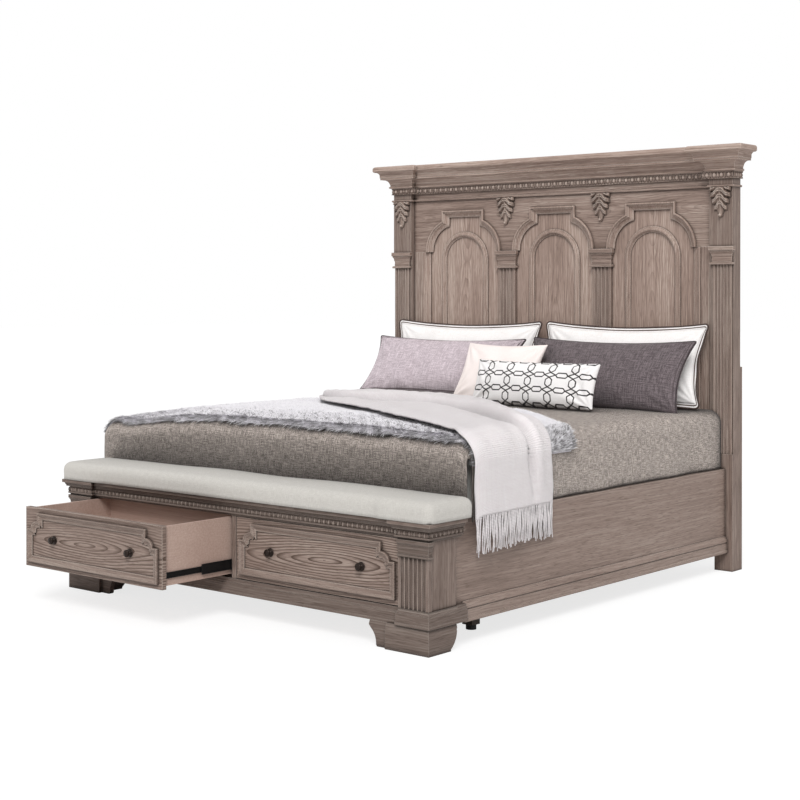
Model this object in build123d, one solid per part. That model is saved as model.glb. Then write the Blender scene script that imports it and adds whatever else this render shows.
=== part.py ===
"""Panelled storage bed: tall arched headboard, two drawers and a padded bench in the footboard.

+X is the right side seen from the foot, +Y runs towards the head and +Z is up. The origin is on the
floor under the middle leg of the centre beam, at the middle of the mattress. Sizes are millimetres.
"""
from build123d import *
import math
import os

os.makedirs("parts", exist_ok=True)

# Mattress and the room left around it
MATTRESS_WIDTH = 1930.0
MATTRESS_LENGTH = 2032.0
MATTRESS_THICK = 295.0
MATTRESS_ROUND = 45.0
SIDE_ROOM = 11.0
HEAD_ROOM = 1.0
SOFT_GAP = 0.3
OVERRUN = 20.0

# Platform heights
SLAT_TOP = 452.0
RAIL_TOP = 488.0
RAIL_BOTTOM = 88.0
RAIL_THICK = 32.0

# Bench and cover at the foot
COVER_THICK = 22.0
BENCH_ROOM = 9.0
BENCH_DEPTH = 255.0

# Headboard heights and widths
POST_PAST_RAIL = 38.0
POST_WIDTH = 124.0
POST_DEPTH = 77.0
CAPITAL_BASE = 1466.0
CAPITAL_HEIGHT = 88.0
FRIEZE_BASE = 1837.0
CROWN_BASE = 1878.0
CROWN_HEIGHT = 157.0
CROWN_REACH = 86.0
CROWN_BREAK = 30.0

# Footboard heights and widths
FOOT_PAST_RAIL = 20.0
FOOT_POST_WIDTH = 144.0
FOOT_POST_DEPTH = 175.0
FOOT_HEIGHT = 98.0
DRAWER_SILL = 162.0
DRAWER_HEAD = 420.0
BENCH_TOP = 490.0
FACE_BREAK = 17.0
CASE_DEPTH = 495.0

# Drawers
DRAWER_REVEAL = 3.0
DRAWER_BACK_ROOM = 33.0
DRAWER_KEPT_IN = 60.0
FRONT_THICK = 22.0

# Planes worked out from the sizes above
RAIL_IN = MATTRESS_WIDTH / 2 + SIDE_ROOM
RAIL_OUT = RAIL_IN + RAIL_THICK
HEAD_Y = MATTRESS_LENGTH / 2 + HEAD_ROOM
FOOT_Y = -(MATTRESS_LENGTH / 2 + SOFT_GAP + COVER_THICK + BENCH_ROOM + BENCH_DEPTH)
POST_OUT = RAIL_OUT + POST_PAST_RAIL
POST_IN = POST_OUT - POST_WIDTH
FOOT_OUT = RAIL_OUT + FOOT_PAST_RAIL
FOOT_IN = FOOT_OUT - FOOT_POST_WIDTH
DIE_BASE = CAPITAL_BASE + CAPITAL_HEIGHT
DRAWER_LENGTH = CASE_DEPTH - FRONT_THICK - DRAWER_BACK_ROOM
LEFT_OPEN = DRAWER_LENGTH - DRAWER_KEPT_IN


# General shapes

def block(x0, x1, y0, y1, z0, z1):
    """A rectangular piece between two opposite corners."""
    centre = Pos((x0 + x1) / 2, (y0 + y1) / 2, (z0 + z1) / 2)
    return centre * Box(x1 - x0, y1 - y0, z1 - z0)


def pair(piece):
    """A piece and its twin on the other side of the bed."""
    return [piece, mirror(piece, about=Plane.YZ)]


def bowed(a, b):
    """The edge from a to b; a third value of b bows it to the left by that share of its length."""
    start, end = Vector(a[0], a[1]), Vector(b[0], b[1])
    bow_share = b[2] if len(b) > 2 else 0
    if not bow_share:
        return Edge.make_line(start, end)
    step = end - start
    crest = (start + end) * 0.5 + Vector(-step.Y, step.X) * bow_share
    return Edge.make_three_point_arc(start, crest, end)


def outline(points):
    """A closed flat face through points, straight or bowed."""
    edges = [bowed(a, b) for a, b in zip(points, points[1:] + points[:1])]
    return make_face(Wire(edges))


def scaled(points_share, width, height):
    """Outline points given as shares of a width and a height."""
    return [(p[0] * width, p[1] * height) + tuple(p[2:]) for p in points_share]


def level_moulding(route, section, base):
    """A moulding carried along a level route with mitred corners; its section is (outward, up)."""
    path = Polyline(*[(x, y, base) for x, y in route])
    along = (path % 0).normalized()
    outward = Vector(-along.Y, along.X)
    start = Plane(origin=path @ 0, x_dir=outward, z_dir=along)
    return sweep(start * section, path=path, transition=Transition.RIGHT)


def carried(section, edge, reach):
    """A section carried along one edge of a flat route and past both its ends by the reach."""
    start, along = edge @ 0, edge % 0
    left = Vector(-along.Y, along.X)
    if edge.geom_type == GeomType.LINE:
        plane = Plane(origin=start - along * reach, x_dir=left, z_dir=along)
        return extrude(plane * section, amount=edge.length + 2 * reach)
    side = 1 if left.dot(edge.arc_center - start) > 0 else -1
    axis = Axis(edge.arc_center, (0, 0, side))
    more = math.degrees(reach / edge.radius)
    swing = math.degrees(edge.length / edge.radius)
    plane = Plane(origin=start, x_dir=left, z_dir=along)
    piece = revolve(plane * section, axis=axis, revolution_arc=swing + 2 * more)
    return piece.rotate(axis, -more)


def mitred(route, section, reach):
    """Pieces of a moulding on a board, one a stretch: the section is (left of the route, proud)."""
    edges = [bowed(a, b) for a, b in zip(route, route[1:])]
    closed = route[0][:2] == route[-1][:2]
    pieces = []
    for i, edge in enumerate(edges):
        piece = carried(section, edge, reach)
        for end, other, keep in ((0, i - 1, Keep.TOP), (1, i + 1, Keep.BOTTOM)):
            facing = edge % end
            if closed or 0 <= other < len(edges):
                facing = facing + edges[other % len(edges)] % (1 - end)
            piece = split(piece, bisect_by=Plane(origin=edge @ end, z_dir=facing), keep=keep)
        pieces.append(piece)
    return pieces


def trim(route, section, reach):
    """The same moulding as one piece."""
    whole, *others = mitred(route, section, reach)
    for piece in others:
        whole = whole + piece
    return whole


def facing_foot(x, y):
    """An upright plane that faces the foot: local x is +X, local y is up, proud is towards the foot."""
    return Plane(origin=(x, y, 0), x_dir=(1, 0, 0), z_dir=(0, -1, 0))


def fluted(piece, x0, x1, front, z0, z1, count, flute_share):
    """Cuts evenly spaced half-round flutes into the face of an upright strip."""
    pitch = (x1 - x0) / (count + 1)
    radius = pitch * flute_share / 2
    for i in range(count):
        x = x0 + pitch * (i + 1)
        tool = Pos(x, front, (z0 + z1) / 2) * Cylinder(radius, z1 - z0 + 2 * OVERRUN)
        piece = piece - tool
    return piece


def collar(x0, x1, front, back, base, height, section):
    """A capital: a solid core with its moulding returned along the front and both sides."""
    route = [(x1, back), (x1, front), (x0, front), (x0, back)]
    core = block(x0, x1, front, back, base, base + height)
    return core + level_moulding(route, section, base)


def save(name, pieces):
    """Writes one node as its separate solids."""
    solids = [s for piece in pieces for s in piece.solids()]
    shape = solids[0] if len(solids) == 1 else Compound(children=solids)
    export_step(shape, f"parts/{name}.step")


# Headboard posts, with a deeper lower leg

LEG_WIDTH = 94.0
LEG_EXTRA_DEPTH = 20.0
LEG_STEP = 975.0
LEG_SETBACK = 10.0
LEG_BLOCK_TOP = 560.0
CROWN_LID = 16.0
HEAD_BACK = HEAD_Y + POST_DEPTH
POST_TOP = CROWN_BASE + CROWN_HEIGHT - CROWN_LID


def headboard_post():
    """Right post: square leg, set-back shaft and the plain die above the capital."""
    leg = block(POST_OUT - LEG_WIDTH, POST_OUT, HEAD_Y, HEAD_BACK, 0, LEG_BLOCK_TOP)
    heel = block(POST_OUT - LEG_WIDTH, POST_OUT, HEAD_BACK, HEAD_BACK + LEG_EXTRA_DEPTH, 0, LEG_STEP)
    shaft = block(POST_IN, POST_OUT, HEAD_Y + LEG_SETBACK, HEAD_BACK, LOW_RAIL_BASE, DIE_BASE)
    die = block(POST_IN, POST_OUT, HEAD_Y, HEAD_BACK, DIE_BASE, POST_TOP)
    return leg + heel + shaft + die


# Fluted pilasters and capitals on the posts

PILASTER_INSET = 18.0
PILASTER_OUTSET = 7.0
PILASTER_FACE = 2.0
POST_FLUTES = 5
FLUTE_SHARE = 0.72
CAPITAL_OUT = 15.0
CAPITAL_SHARES = [(0, 0), (0.55, 0), (0.7, 0.06, -0.3), (0.55, 0.13, -0.3), (0.1, 0.15), (0.1, 0.3),
                  (0.3, 0.5, 0.1), (0.7, 0.7, 0.12), (0.7, 0.76), (1, 0.78), (1, 1), (0, 1)]


def post_pilaster():
    x0, x1 = POST_IN + PILASTER_INSET, POST_OUT - PILASTER_OUTSET
    strip = block(x0, x1, HEAD_Y + PILASTER_FACE, HEAD_Y + LEG_SETBACK, LEG_BLOCK_TOP, CAPITAL_BASE)
    return fluted(strip, x0, x1, HEAD_Y + PILASTER_FACE, LEG_BLOCK_TOP, CAPITAL_BASE, POST_FLUTES,
                  FLUTE_SHARE)


def post_capital():
    x0, x1 = POST_IN + CAPITAL_OUT, POST_OUT - PILASTER_OUTSET
    section = outline(scaled(CAPITAL_SHARES, CAPITAL_OUT, CAPITAL_HEIGHT))
    return collar(x0, x1, HEAD_Y + PILASTER_FACE, HEAD_Y + LEG_SETBACK, CAPITAL_BASE,
                  CAPITAL_HEIGHT, section)


# Headboard boards: spandrel with three arched openings, stiles, panels and back rails

SPANDREL_SETBACK = 3.0
SPANDREL_THICK = 19.0
PANEL_THICK = 12.0
LOW_RAIL_BASE = 300.0
LOW_RAIL_TOP = 430.0
ARCH_TOP = 1779.0
ARCH_RADIUS = 180.5
ARCH_TOP_SHARE = 0.5556
ARCH_MULLION_ROOM = 39.5
ARCH_STILE_ROOM = 23.0
STILE_WIDTH = 64.0
MULLION_SHIFT = 3.5
BATTEN_HEIGHT = 70.0
BATTEN_SHARES = (0.32, 0.9)
SPANDREL_Y = HEAD_Y + CROWN_BREAK + SPANDREL_SETBACK
PANEL_Y = SPANDREL_Y + SPANDREL_THICK
STILE_IN = POST_IN - STILE_WIDTH
BAY_PITCH = (STILE_IN + ARCH_MULLION_ROOM - ARCH_STILE_ROOM) * 2 / 3
ARCH_FOOT = BAY_PITCH / 2 - ARCH_MULLION_ROOM
ARCH_TOP_HALF = ARCH_FOOT * ARCH_TOP_SHARE
MULLION_CENTRE = BAY_PITCH / 2 + MULLION_SHIFT


def arch_route():
    """Outer arch over one bay: a quarter bow each side of a raised square head."""
    foot = ARCH_FOOT
    inward = foot - ARCH_TOP_HALF
    shoulder = DIE_BASE + math.sqrt(ARCH_RADIUS ** 2 - (ARCH_RADIUS - inward) ** 2)
    chord = math.hypot(inward, shoulder - DIE_BASE)
    bow_share = (ARCH_RADIUS - math.sqrt(ARCH_RADIUS ** 2 - chord ** 2 / 4)) / chord
    return [(-foot, DIE_BASE), (-ARCH_TOP_HALF, shoulder, bow_share), (-ARCH_TOP_HALF, ARCH_TOP),
            (ARCH_TOP_HALF, ARCH_TOP), (ARCH_TOP_HALF, shoulder), (foot, DIE_BASE, bow_share)]


def spandrel_board():
    """Board across the top of the bays, cut out to the outer arches."""
    board = block(-POST_IN, POST_IN, SPANDREL_Y, PANEL_Y, DIE_BASE, FRIEZE_BASE)
    for x in (-BAY_PITCH, 0, BAY_PITCH):
        opening = facing_foot(x, PANEL_Y) * outline(arch_route())
        board = board - extrude(opening, amount=SPANDREL_THICK + OVERRUN)
    return board


def stile():
    return block(STILE_IN, POST_IN, SPANDREL_Y, PANEL_Y, LOW_RAIL_TOP, DIE_BASE)


def arch_panels():
    """Three upright-grained boards that meet behind the mullions."""
    edges = (-POST_IN, -MULLION_CENTRE, MULLION_CENTRE, POST_IN)
    return [block(a, b, PANEL_Y, PANEL_Y + PANEL_THICK, LOW_RAIL_TOP, POST_TOP)
            for a, b in zip(edges, edges[1:])]


def back_rails():
    """Thick cross rail under the panels and two battens behind them."""
    rails = [block(-POST_IN, POST_IN, SPANDREL_Y, HEAD_BACK, LOW_RAIL_BASE, LOW_RAIL_TOP)]
    for share in BATTEN_SHARES:
        z = LOW_RAIL_TOP + (FRIEZE_BASE - LOW_RAIL_TOP) * share
        rails.append(block(-POST_IN, POST_IN, PANEL_Y + PANEL_THICK, HEAD_BACK,
                           z - BATTEN_HEIGHT / 2, z + BATTEN_HEIGHT / 2))
    return rails


# Arch mouldings

OUTER_TRIM_WIDTH = 36.0
OUTER_TRIM_PROUD = 33.0
STILE_TRIM_WIDTH = 41.0
STILE_TRIM_PROUD = 24.0
INNER_ARCH_ROOM = 96.0
INNER_TRIM_WIDTH = 31.0
INNER_TRIM_PROUD = 16.0
INNER_SPRING = 1507.0
OUTER_TRIM_SHARES = [(0, 0), (0, 0.84), (-0.2, 1, -0.35), (-0.26, 0.8), (-0.42, 0.74),
                     (-0.86, 0.36, 0.14), (-0.9, 0.3), (-1, 0.3), (-1, 0)]
INNER_RADIUS = ARCH_FOOT - INNER_ARCH_ROOM
INNER_TRIM_SHARES = [(0, 0), (0, 0.36), (-0.28, 0.62, 0.2), (-0.34, 0.9), (-0.66, 1, -0.12),
                     (-0.74, 0.58), (-1, 0.3, 0.1), (-1, 0)]


def outer_arch_trim(x):
    """Outer moulding of one bay, in mitred pieces."""
    section = outline(scaled(OUTER_TRIM_SHARES, OUTER_TRIM_WIDTH, OUTER_TRIM_PROUD))
    face = facing_foot(x, PANEL_Y)
    return [face * piece for piece in mitred(arch_route(), section, OUTER_TRIM_WIDTH)]


def stile_trim():
    """Upright moulding beside the right stile, under the foot of the outer arch."""
    section = outline(scaled(OUTER_TRIM_SHARES, STILE_TRIM_WIDTH, STILE_TRIM_PROUD))
    route = [(STILE_IN, DIE_BASE), (STILE_IN, LOW_RAIL_TOP)]
    return facing_foot(0, PANEL_Y) * trim(route, section, 0)


def inner_arch_trim(x):
    """Round-headed moulding planted on the panel of one bay."""
    section = outline(scaled(INNER_TRIM_SHARES, INNER_TRIM_WIDTH, INNER_TRIM_PROUD))
    route = [(-INNER_RADIUS, LOW_RAIL_TOP), (-INNER_RADIUS, INNER_SPRING),
             (INNER_RADIUS, INNER_SPRING, 0.5), (INNER_RADIUS, LOW_RAIL_TOP)]
    return facing_foot(x, PANEL_Y) * trim(route, section, INNER_TRIM_WIDTH)


# Mullions with their capitals

MULLION_WIDTH = 108.0
MULLION_FACE = 2.0
MULLION_FLUTES = 4
MULLION_CAPITAL_BASE = 1461.0


def mullion():
    x0, x1 = MULLION_CENTRE - MULLION_WIDTH / 2, MULLION_CENTRE + MULLION_WIDTH / 2
    front = SPANDREL_Y + MULLION_FACE
    strip = block(x0, x1, front, PANEL_Y, LOW_RAIL_TOP, MULLION_CAPITAL_BASE)
    return fluted(strip, x0, x1, front, LOW_RAIL_TOP, MULLION_CAPITAL_BASE, MULLION_FLUTES,
                  FLUTE_SHARE)


def mullion_capital():
    """Capital that carries the feet of two outer arches."""
    x0, x1 = MULLION_CENTRE - MULLION_WIDTH / 2, MULLION_CENTRE + MULLION_WIDTH / 2
    height = DIE_BASE - MULLION_CAPITAL_BASE
    section = outline(scaled(CAPITAL_SHARES, CAPITAL_OUT, height))
    return collar(x0, x1, SPANDREL_Y + MULLION_FACE, PANEL_Y, MULLION_CAPITAL_BASE, height, section)


# Acanthus corbels under the frieze

CORBEL_HEIGHT = 146.0
CORBEL_WIDTH = 112.0
CORBEL_PROUD = 32.0
CORBEL_SIDE_SHARES = [(0, 0), (-0.3, 0), (-0.5, 0.12, -0.25), (-0.34, 0.3, 0.1), (-0.8, 0.62, 0.08),
                      (-1, 0.82, -0.15), (-0.9, 1, -0.2), (0, 1)]
CORBEL_FACE_SHARES = [(-0.14, 0), (0.14, 0, 0.4), (0.3, 0.32, 0.1), (0.44, 0.6, -0.1),
                      (0.5, 1, -0.12), (-0.5, 1), (-0.44, 0.6, -0.12), (-0.3, 0.32, -0.1)]


def corbel(x, wall_y):
    """Leaf-shaped bracket: its side curve crossed with its tapering face."""
    base = FRIEZE_BASE - CORBEL_HEIGHT
    side = Plane(origin=(x - CORBEL_WIDTH / 2, wall_y, base), x_dir=(0, 1, 0), z_dir=(1, 0, 0))
    swell = outline(scaled(CORBEL_SIDE_SHARES, CORBEL_PROUD, CORBEL_HEIGHT))
    leaf = outline(scaled(CORBEL_FACE_SHARES, CORBEL_WIDTH, CORBEL_HEIGHT))
    face = facing_foot(x, wall_y) * Pos(0, base, 0) * leaf
    return extrude(side * swell, amount=CORBEL_WIDTH) & extrude(face, amount=CORBEL_PROUD)


# Frieze and crown, which step forward over the posts

BAND_HEIGHT = 36.0
BAND_OUT = 12.0
ASTRAGAL_OUT = 9.0
ASTRAGAL_HEIGHT = 11.0
ASTRAGAL_SHARES = [(0, 0), (0.5, 0), (1, 0.4, -0.17), (1, 0.6), (0.5, 1, -0.17), (0, 1)]
CROWN_SHARES = [(0, 0), (0.18, 0), (0.24, 0.045, -0.18), (0.18, 0.09, -0.18), (0.2, 0.2, 0.14),
                (0.46, 0.4, 0.16), (0.64, 0.4), (0.64, 0.48), (0.67, 0.49), (0.67, 0.62),
                (0.84, 0.74, 0.14), (1, 0.8, -0.2), (1, 0.88), (0.8, 1, -0.24), (0, 1)]


def crown_route():
    """From the right rear corner round both posts, stepping back across the bays."""
    right = [(POST_OUT, HEAD_BACK), (POST_OUT, HEAD_Y), (POST_IN, HEAD_Y), (POST_IN, HEAD_Y + CROWN_BREAK)]
    return right + [(-x, y) for x, y in reversed(right)]


def frieze():
    """Plain board over the bays and the small round moulding along its foot."""
    board = block(-POST_IN, POST_IN, HEAD_Y + CROWN_BREAK, PANEL_Y, FRIEZE_BASE, POST_TOP)
    section = outline(scaled(ASTRAGAL_SHARES, ASTRAGAL_OUT, ASTRAGAL_HEIGHT))
    return [board, level_moulding(crown_route(), section, FRIEZE_BASE)]


def carved_band(route, out, base, height):
    """Flat strip that carries the carved egg-and-dart."""
    section = outline([(0, 0), (out, 0), (out, height), (0, height)])
    return level_moulding(route, section, base)


def crown_moulding():
    """Cove and projecting cap, closed on top by a lid board."""
    base = CROWN_BASE + BAND_HEIGHT
    top = CROWN_BASE + CROWN_HEIGHT
    section = outline(scaled(CROWN_SHARES, CROWN_REACH, top - base))
    cap = level_moulding(crown_route(), section, base)
    lid = block(-POST_IN, POST_IN, HEAD_Y + CROWN_BREAK, HEAD_BACK, POST_TOP, top)
    ears = pair(block(POST_IN, POST_OUT, HEAD_Y, HEAD_BACK, POST_TOP, top))
    return cap + lid + ears[0] + ears[1]


# Side rails, their base mouldings and the hook brackets

RAIL_TRIM_TOP = 168.0
RAIL_TRIM_OUT = 14.0
BASE_RETURN = 55.0
FOOT_SETBACK = 8.0
RAIL_TRIM_SHARES = [(0, 0), (0.8, 0), (1, 0.1, -0.3), (1, 0.16), (0.75, 0.2), (0.75, 0.56),
                    (0.5, 0.62), (0.9, 0.7, -0.25), (0.6, 0.86), (0.2, 1, 0.12), (0, 1)]
BRACKET_THICK = 3.0
BRACKET_LEG = 44.0
BRACKET_BASE = 180.0
BRACKET_HEIGHT = 150.0
FOOT_FACE = FOOT_Y + FOOT_SETBACK
POST_REAR = FOOT_FACE + FOOT_POST_DEPTH


def side_rail():
    return block(RAIL_IN, RAIL_OUT, POST_REAR, HEAD_Y, RAIL_BOTTOM, RAIL_TOP)


def rail_moulding():
    """Base moulding planted along the outside of the right rail."""
    height = RAIL_TRIM_TOP - RAIL_BOTTOM
    section = outline(scaled(RAIL_TRIM_SHARES, RAIL_TRIM_OUT, height))
    route = [(RAIL_OUT, HEAD_Y), (RAIL_OUT, POST_REAR + BASE_RETURN)]
    return level_moulding(route, section, RAIL_BOTTOM)


def hook_brackets():
    """Angle plates that hold the right rail to the head post and to the foot post."""
    low, high = BRACKET_BASE, BRACKET_BASE + BRACKET_HEIGHT
    edge, inner = RAIL_IN - BRACKET_THICK, RAIL_IN - BRACKET_LEG
    head = block(edge, RAIL_IN, HEAD_Y - BRACKET_LEG, HEAD_Y, low, high)
    head = head + block(inner, RAIL_IN, HEAD_Y - BRACKET_THICK, HEAD_Y, low, high)
    foot = block(edge, RAIL_IN, POST_REAR, POST_REAR + BRACKET_LEG, low, high)
    foot = foot + block(inner, RAIL_IN, POST_REAR, POST_REAR + BRACKET_THICK, low, high)
    return [head, foot]


# Platform: cleats, slats, centre beam and its legs

CLEAT_WIDTH = 30.0
CLEAT_HEIGHT = 30.0
SLAT_THICK = 18.0
SLAT_WIDTH = 72.0
SLAT_COUNT = 13
SLAT_END_ROOM = 1.0
BEAM_WIDTH = 60.0
BEAM_HEIGHT = 70.0
LEG_SIDE = 50.0
LEG_PITCH = 420.0
GLIDE_HEIGHT = 20.0
GLIDE_RADIUS = 21.0
CASE_PANEL = 18.0
CASE_TOP = SLAT_TOP - SLAT_THICK
DRAWER_FACE = FOOT_FACE + FACE_BREAK
CASE_REAR = DRAWER_FACE + CASE_DEPTH


def slat_cleat():
    return block(RAIL_IN - CLEAT_WIDTH, RAIL_IN, POST_REAR, HEAD_Y, CASE_TOP - CLEAT_HEIGHT, CASE_TOP)


def bed_slats():
    """Evenly spaced cross slats under the mattress."""
    reach = RAIL_IN - SLAT_END_ROOM
    first = -MATTRESS_LENGTH / 2
    pitch = (MATTRESS_LENGTH - SLAT_WIDTH) / (SLAT_COUNT - 1)
    return [block(-reach, reach, first + pitch * i, first + pitch * i + SLAT_WIDTH, CASE_TOP, SLAT_TOP)
            for i in range(SLAT_COUNT)]


def centre_beam():
    return block(-BEAM_WIDTH / 2, BEAM_WIDTH / 2, CASE_REAR + CASE_PANEL, SPANDREL_Y,
                 CASE_TOP - BEAM_HEIGHT, CASE_TOP)


def leg_places():
    """Foot centres of the beam legs and of the two legs under the back of the drawer case."""
    beam = [(0, i * LEG_PITCH, CASE_TOP - BEAM_HEIGHT) for i in (-1, 0, 1)]
    case_x = FOOT_IN - LEG_SIDE / 2
    case = [(side * case_x, CASE_REAR - LEG_SIDE / 2, FOOT_HEIGHT) for side in (-1, 1)]
    return beam + case


def support_legs():
    half = LEG_SIDE / 2
    return [block(x - half, x + half, y - half, y + half, GLIDE_HEIGHT, top) for x, y, top in leg_places()]


def leg_glides():
    return [Pos(x, y, GLIDE_HEIGHT / 2) * Cylinder(GLIDE_RADIUS, GLIDE_HEIGHT) for x, y, _ in leg_places()]


# Footboard posts, fluted pilasters and capitals

PILASTER_THICK = 22.0
FOOT_POST_STEP = 6.0
FOOT_CAPITAL_BASE = 356.0
FOOT_CAPITAL_OUT = 10.0
FOOT_FLUTES = 6
BOARD_THICK = 14.0
BOARD_BASE = BENCH_TOP - BOARD_THICK


def foot_post():
    return block(FOOT_IN, FOOT_OUT - FOOT_POST_STEP, FOOT_FACE + PILASTER_THICK, POST_REAR,
                 FOOT_HEIGHT, BOARD_BASE)


def foot_pilaster():
    strip = block(FOOT_IN, FOOT_OUT, FOOT_FACE, FOOT_FACE + PILASTER_THICK, FOOT_HEIGHT, FOOT_CAPITAL_BASE)
    return fluted(strip, FOOT_IN, FOOT_OUT, FOOT_FACE, DRAWER_SILL + OVERRUN,
                  FOOT_CAPITAL_BASE + OVERRUN, FOOT_FLUTES, FLUTE_SHARE)


def foot_capital():
    """Capital over the right pilaster; it returns on the outer side only, clear of the drawer."""
    height = DRAWER_HEAD - FOOT_CAPITAL_BASE
    back = FOOT_FACE + PILASTER_THICK
    section = outline(scaled(CAPITAL_SHARES, FOOT_CAPITAL_OUT, height))
    route = [(FOOT_OUT, back), (FOOT_OUT, FOOT_FACE), (FOOT_IN, FOOT_FACE)]
    core = block(FOOT_IN, FOOT_OUT, FOOT_FACE, back, FOOT_CAPITAL_BASE, BOARD_BASE)
    return core + level_moulding(route, section, FOOT_CAPITAL_BASE)


# Header over the drawers and the board under the bench cushion

HEADER_RETURN = 24.0
HEADER_RAIL = 20.0
HEADER_LOWER = 15.0
FOOT_BAND_HEIGHT = 24.0
FOOT_BAND_OUT = 10.0
BOARD_OUT = 30.0
LOWER_SHARES = [(0, 0), (0.1, 0), (0.1, 0.35), (0.3, 0.5), (0.36, 0.8, -0.3), (0.3, 1), (0, 1)]
UPPER_SHARES = [(0, 0), (0.44, 0), (0.56, 0.2, -0.3), (0.56, 0.42), (0.66, 0.44), (0.86, 1, 0.18), (0, 1)]


def foot_route(rear):
    """From the right side round both foot posts, stepping back over the drawers."""
    right = [(FOOT_OUT, rear), (FOOT_OUT, FOOT_FACE), (FOOT_IN, FOOT_FACE), (FOOT_IN, DRAWER_FACE)]
    return right + [(-x, y) for x, y in reversed(right)]


def header():
    """Rail over the drawers with its lower and upper mouldings, returned past the posts."""
    rear = POST_REAR + HEADER_RETURN
    band_top = DRAWER_HEAD + HEADER_LOWER + FOOT_BAND_HEIGHT
    lower = outline(scaled(LOWER_SHARES, BOARD_OUT, HEADER_LOWER))
    upper = outline(scaled(UPPER_SHARES, BOARD_OUT, BOARD_BASE - band_top))
    whole = block(-FOOT_IN, FOOT_IN, DRAWER_FACE, DRAWER_FACE + HEADER_RAIL, DRAWER_HEAD, BOARD_BASE)
    whole = whole + level_moulding(foot_route(rear), lower, DRAWER_HEAD)
    whole = whole + level_moulding(foot_route(rear), upper, band_top)
    for filler in pair(block(RAIL_OUT, FOOT_OUT, POST_REAR, rear, DRAWER_HEAD, BOARD_BASE)):
        whole = whole + filler
    return whole


def bench_board():
    """Board under the cushion, stepped like the header and notched round the rails."""
    out, step_x = FOOT_OUT + BOARD_OUT, FOOT_IN - BOARD_OUT
    front = FOOT_FACE - BOARD_OUT
    rear, ear = FOOT_Y + BENCH_DEPTH, POST_REAR + HEADER_RETURN
    right = [(RAIL_IN, rear), (RAIL_IN, POST_REAR), (RAIL_OUT, POST_REAR), (RAIL_OUT, ear),
             (out, ear), (out, front), (step_x, front), (step_x, front + FACE_BREAK)]
    plan = outline(right + [(-x, y) for x, y in reversed(right)])
    return Pos(0, 0, BOARD_BASE) * extrude(plan, amount=BOARD_THICK, dir=(0, 0, 1))


# Base: moulding, front rail and bracket feet

BASE_OUT = 10.0
FOOT_BLOCK_WIDTH = 210.0
FOOT_BLOCK_DEPTH = 177.0
SIDE_BRACKET_WIDTH = 91.0
SIDE_BRACKET_THICK = 24.0
BASE_SHARES = [(0, 0), (1, 0, 0), (1, 0.14), (0.8, 0.17), (0.8, 0.62), (0.5, 0.7, -0.2), (0.5, 0.78),
               (0.2, 1, 0.18), (0, 1)]
FOOT_SIDE_SHARES = [(0, 0), (0.757, 0), (0.757, 0.07), (0.97, 0.78, -0.12), (1, 0.84), (1, 1),
                    (0.045, 1), (0, 0.7)]
FOOT_FACE_SHARES = [(0, 0), (1, 0), (1, 0.7), (0.962, 1), (0, 1)]
SIDE_BRACKET_SHARES = [(0, 0), (0, 1), (-0.94, 1), (-1, 0.82), (-0.9, 0.7), (-0.6, 0.07, 0.12), (-0.55, 0)]


def base_moulding():
    """Front base rail with the moulding that wraps the posts."""
    rear = POST_REAR + BASE_RETURN
    section = outline(scaled(BASE_SHARES, BASE_OUT, DRAWER_SILL - FOOT_HEIGHT))
    whole = block(-FOOT_IN, FOOT_IN, DRAWER_FACE, DRAWER_FACE + HEADER_RAIL, FOOT_HEIGHT, DRAWER_SILL)
    whole = whole + level_moulding(foot_route(rear), section, FOOT_HEIGHT)
    for filler in pair(block(RAIL_OUT, FOOT_OUT, POST_REAR, rear, FOOT_HEIGHT, DRAWER_SILL)):
        whole = whole + filler
    return whole


def bracket_foot():
    """Right front foot: a block with a curved heel and a bevelled top, and its set-back bracket."""
    x1 = FOOT_OUT + FOOT_SETBACK
    x0 = x1 - FOOT_BLOCK_WIDTH
    side = outline(scaled(FOOT_SIDE_SHARES, FOOT_BLOCK_DEPTH, FOOT_HEIGHT))
    face = outline(scaled(FOOT_FACE_SHARES, FOOT_BLOCK_WIDTH, FOOT_HEIGHT))
    plane = Plane(origin=(x0, FOOT_Y, 0), x_dir=(0, 1, 0), z_dir=(1, 0, 0))
    toe = extrude(plane * side, amount=FOOT_BLOCK_WIDTH)
    toe = toe & extrude(facing_foot(x0, FOOT_Y + FOOT_BLOCK_DEPTH) * face, amount=FOOT_BLOCK_DEPTH)
    wing = outline(scaled(SIDE_BRACKET_SHARES, SIDE_BRACKET_WIDTH, FOOT_HEIGHT))
    back = DRAWER_FACE + SIDE_BRACKET_THICK - BASE_OUT
    return [toe, extrude(facing_foot(x0, back) * wing, amount=SIDE_BRACKET_THICK)]


# Drawer case behind the header

DIVIDER_THICK = 25.0
FLOOR_THICK = 12.0


def drawer_divider():
    half = DIVIDER_THICK / 2
    lip = block(-half, half, DRAWER_FACE, DRAWER_FACE + HEADER_RAIL, DRAWER_SILL, DRAWER_HEAD)
    wall = block(-half, half, DRAWER_FACE + HEADER_RAIL, CASE_REAR, FOOT_HEIGHT + FLOOR_THICK, CASE_TOP)
    return lip + wall


def drawer_case():
    """Side walls behind the posts and the back panel, one piece."""
    out = FOOT_IN + CASE_PANEL
    back = block(-out, out, CASE_REAR, CASE_REAR + CASE_PANEL, FOOT_HEIGHT, CASE_TOP)
    walls = pair(block(FOOT_IN, out, POST_REAR, CASE_REAR, FOOT_HEIGHT, CASE_TOP))
    return back + walls[0] + walls[1]


def case_floor():
    return block(-FOOT_IN, FOOT_IN, DRAWER_FACE + HEADER_RAIL, CASE_REAR, FOOT_HEIGHT,
                 FOOT_HEIGHT + FLOOR_THICK)


# Drawers, drawn closed on the right side

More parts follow.
